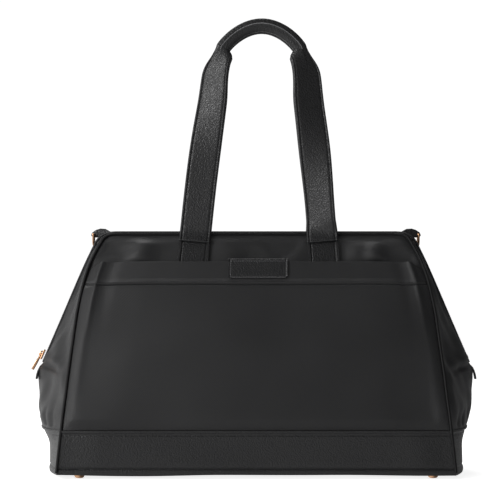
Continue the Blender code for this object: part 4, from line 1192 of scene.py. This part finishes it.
TAB_WIDTH = 0.0125
TAB_THICKNESS = 0.0022
TAB_LINE = ((0.2455, 0.1225), (0.2482, 0.1196), (0.2500, 0.1160), (0.2514, 0.1115), (0.2522, 0.1065))
for hand, name in HANDS:

    def tab_point(u, v):
        x, z = TAB_LINE[round(v * (len(TAB_LINE) - 1))]
        narrow = 1 - 0.16 * v
        return Vector((hand * x, (u - 0.5) * TAB_WIDTH * narrow, z))

    tab = cloth(
        f"end_tab_{name}", tab_point, (6, len(TAB_LINE) - 1), (TAB_WIDTH, 0.018), satin_nylon,
        lambda co: (hand, 0, 0),
    )
    thicken(tab, TAB_THICKNESS, offset=0.0, edge=0.0006)
    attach(tab, "base")
    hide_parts(f"zip_end_tab_{name}")

# ---- Shoulder strap rings ----------------------------------------------------------------------
# A wire D-ring hangs in a folded leather loop at each top corner, behind the zip.

RING_X = ridge_x(BODY_HEIGHT - 0.019) - RIDGE_LEAN * 0.0165 + 0.0050
RING_Z = BODY_HEIGHT - 0.0025
LOOP_Y = TOP_HALF_DEPTH + 0.0025
LOOP_HALF_WIDTH = 0.0056
RING_WIRE = 0.0013

# Once round the folded leather from where it leaves the hem: over the top, round the bar, and back.
LOOP_OUTLINE = (
    (0.1540, 0.2725), (0.1600, 0.2738), (0.1655, 0.2748), (0.1695, 0.2768), (0.1740, 0.2792),
    (0.1795, 0.2795), (0.1848, 0.2778), (0.1890, 0.2747), (0.1902, 0.2716), (0.1886, 0.2696),
    (0.1850, 0.2690), (0.1790, 0.2694), (0.1720, 0.2686), (0.1640, 0.2680), (0.1560, 0.2690),
)
for hand, name in HANDS:
    bow = [(hand * RING_X, LOOP_Y + 0.0085 * math.cos(a), RING_Z - 0.0125 * max(0.0, math.sin(a)) ** 0.8)
           for a in (math.pi * i / 40 for i in range(41))]
    ring = tube(f"wire_ring_{name}", bow, RING_WIRE, rose_brass, cyclic=True, resolution=5)
    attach(ring, f"{name}_ring")
    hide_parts(f"d_ring_{name}")
    bm = bmesh.new()
    near, far = (
        [bm.verts.new((hand * x, LOOP_Y + reach, z)) for x, z in LOOP_OUTLINE]
        for reach in (-LOOP_HALF_WIDTH, LOOP_HALF_WIDTH)
    )
    bm.faces.new(near)
    bm.faces.new(list(reversed(far)))
    for i in range(len(near)):
        j = (i + 1) % len(near)
        bm.faces.new((near[j], near[i], far[i], far[j]))
    bmesh.ops.recalc_face_normals(bm, faces=bm.faces)
    rims = [e for e in bm.edges if abs(e.verts[0].co.y - e.verts[1].co.y) < 1e-6]
    bmesh.ops.bevel(bm, geom=rims, offset=0.0009, segments=2, affect="EDGES", profile=0.5, material=-1)
    for vert in bm.verts:
        vert.co.y -= 0.0050 * smooth((RING_X - 0.010 - abs(vert.co.x)) / 0.018)
    loop = piece(f"leather_loop_{name}", bm, pebbled_leather)
    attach(loop, "back_jaw")
    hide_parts(f"ring_loop_{name}")

# ---- Inside ------------------------------------------------------------------------------------
# A charcoal twill lining hangs in from the hems, with a slip pocket on the back wall. A steel wire
# frame in a cloth sleeve holds each jaw open or shut and pivots on a rivet at each fold.

LINING_INSET = 0.0034
LINING_FOOT, LINING_TOP = 0.0150, 0.262
LINING_THICKNESS = 0.0006
# Polyester twill: matt, with a diagonal rib of 0.5 mm, drawn at 1.4 mm.
twill_lining, tree = new_material("twill_lining", "2f2f32", Roughness=0.82, IOR=1.5, Sheen_Weight=0.1)
where = node(tree, "TexCoord").outputs
rib = node(tree, "TexWave", {"Vector": where["UV"], "Scale": WAVE_LENGTH / 0.0014}, bands_direction="DIAGONAL")
node(tree, "Mix", {0: rib.outputs["Fac"], 6: linear("2a2a2d"), 7: linear("343438")},
     into="Base Color", out=2, data_type="RGBA")
node(tree, "Bump", {"Height": rib.outputs["Fac"], "Strength": 0.4, "Distance": 0.0003}, into="Normal")


def lining_point(u, v, side):
    """The half shell again, drawn in by the inset, from the floor to just under the hems."""
    z = between(LINING_FOOT, LINING_TOP, v)
    depth = half_depth(z) - LINING_INSET
    at = (2 * u - 1) * 1.5
    corner = corner_x(z) - 0.5 * LINING_INSET
    if abs(at) <= 1:
        return Vector((at * corner, side * depth, z))
    inner = min(depth, 0.0098) * smooth((z - FOLD_HEIGHT + 0.006) / 0.010)
    y = between(depth, inner, (abs(at) - 1) / 0.5)
    x = min(gusset_x(z, y * half_depth(z) / max(depth, 1e-4)) - LINING_INSET, gusset_x(z, y) - LINING_INSET)
    return Vector((math.copysign(max(corner, x), at), side * y, z))


def lining_relief(co, side):
    """Easy ripples, drawn in further wherever the cloth outside dips, most of all at the fold."""
    ripple = 0.0009 * waver(co.x * 18, side, co.z * 18)
    if abs(co.x) < corner_x(co.z) - 0.002:
        return ripple + max(0.0, -panel_relief(co, side))
    return ripple + max(0.0, -gusset_relief(co, side)) + 0.0024 * bump(co.z - FOLD_HEIGHT, 0.014)


for side, word in SIDES:
    wall = cloth(
        f"{word}_lining", lambda u, v: lining_point(u, v, side), (120, 80), (0.6, 0.25),
        twill_lining, lambda co: (-co.x * 0.3, -co.y * 4, 0),
        lambda co: lining_relief(co, side),
    )
    thicken(wall, LINING_THICKNESS)
    across_mouth(wall)
    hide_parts("lining_lower", f"lining_upper_{word}")

lining_floor = cloth(
    "lining_floor",
    lambda u, v: Vector((
        (2 * u - 1) * (gusset_x(LINING_FOOT, (2 * v - 1) * 0.1) - LINING_INSET - 0.001),
        (2 * v - 1) * (BASE_HALF_DEPTH - LINING_INSET - 0.0005),
        0.0152,
    )),
    (40, 20), (0.44, 0.2), twill_lining, lambda co: (0, 0, 1),
)
thicken(lining_floor, LINING_THICKNESS)
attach(lining_floor, "base")

low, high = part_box("inner_slip_pocket")


def slip_relief(co):
    """A little slack across the pocket, and the step of its hem."""
    slack = 0.0012 * max(0.0, math.cos(co.x / high.x * math.pi / 2))
    return slack + 0.0005 * smooth((co.z - high.z + 0.012) / 0.001)


slip = cloth(
    "slip_pocket",
    lambda u, v: panel_point((2 * u - 1) * high.x, between(low.z, high.z, v), 1, -LINING_INSET - 0.0022),
    (40, 24), (2 * high.x, high.z - low.z), twill_lining, lambda co: (0, -1, 0), slip_relief,
)
thicken(slip, 0.0007, edge=0.0002)
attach(slip, "base")
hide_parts("inner_slip_pocket")

# Cold-drawn spring steel, blackened in hot oxide: dark, with a dull metal shine.
spring_steel, tree = new_material("blackened_spring_steel", "3c3d40", Metallic=1.0, Roughness=0.40)
where = node(tree, "TexCoord").outputs
drawn = node(tree, "TexNoise", {"Vector": where["Object"], "Scale": 260.0, "Detail": 3.0})
node(tree, "MapRange", {"Value": drawn.outputs["Fac"], "To Min": 0.26, "To Max": 0.44}, into="Roughness")
# Pressed fibreboard, matt and slightly mottled.
fibreboard, tree = new_material("fibreboard", "4b4844", Roughness=0.85)
where = node(tree, "TexCoord").outputs
fibres = node(tree, "TexNoise", {"Vector": where["Object"], "Scale": 180.0, "Detail": 5.0})
node(tree, "Mix", {0: fibres.outputs["Fac"], 6: linear("3f3c39"), 7: linear("5a5650")},
     into="Base Color", out=2, data_type="RGBA")
for name in ("frame_wire_front", "frame_wire_back", "frame_rivet_left", "frame_rivet_right"):
    finish_cad(name, spring_steel)
finish_cad("base_board", fibreboard)
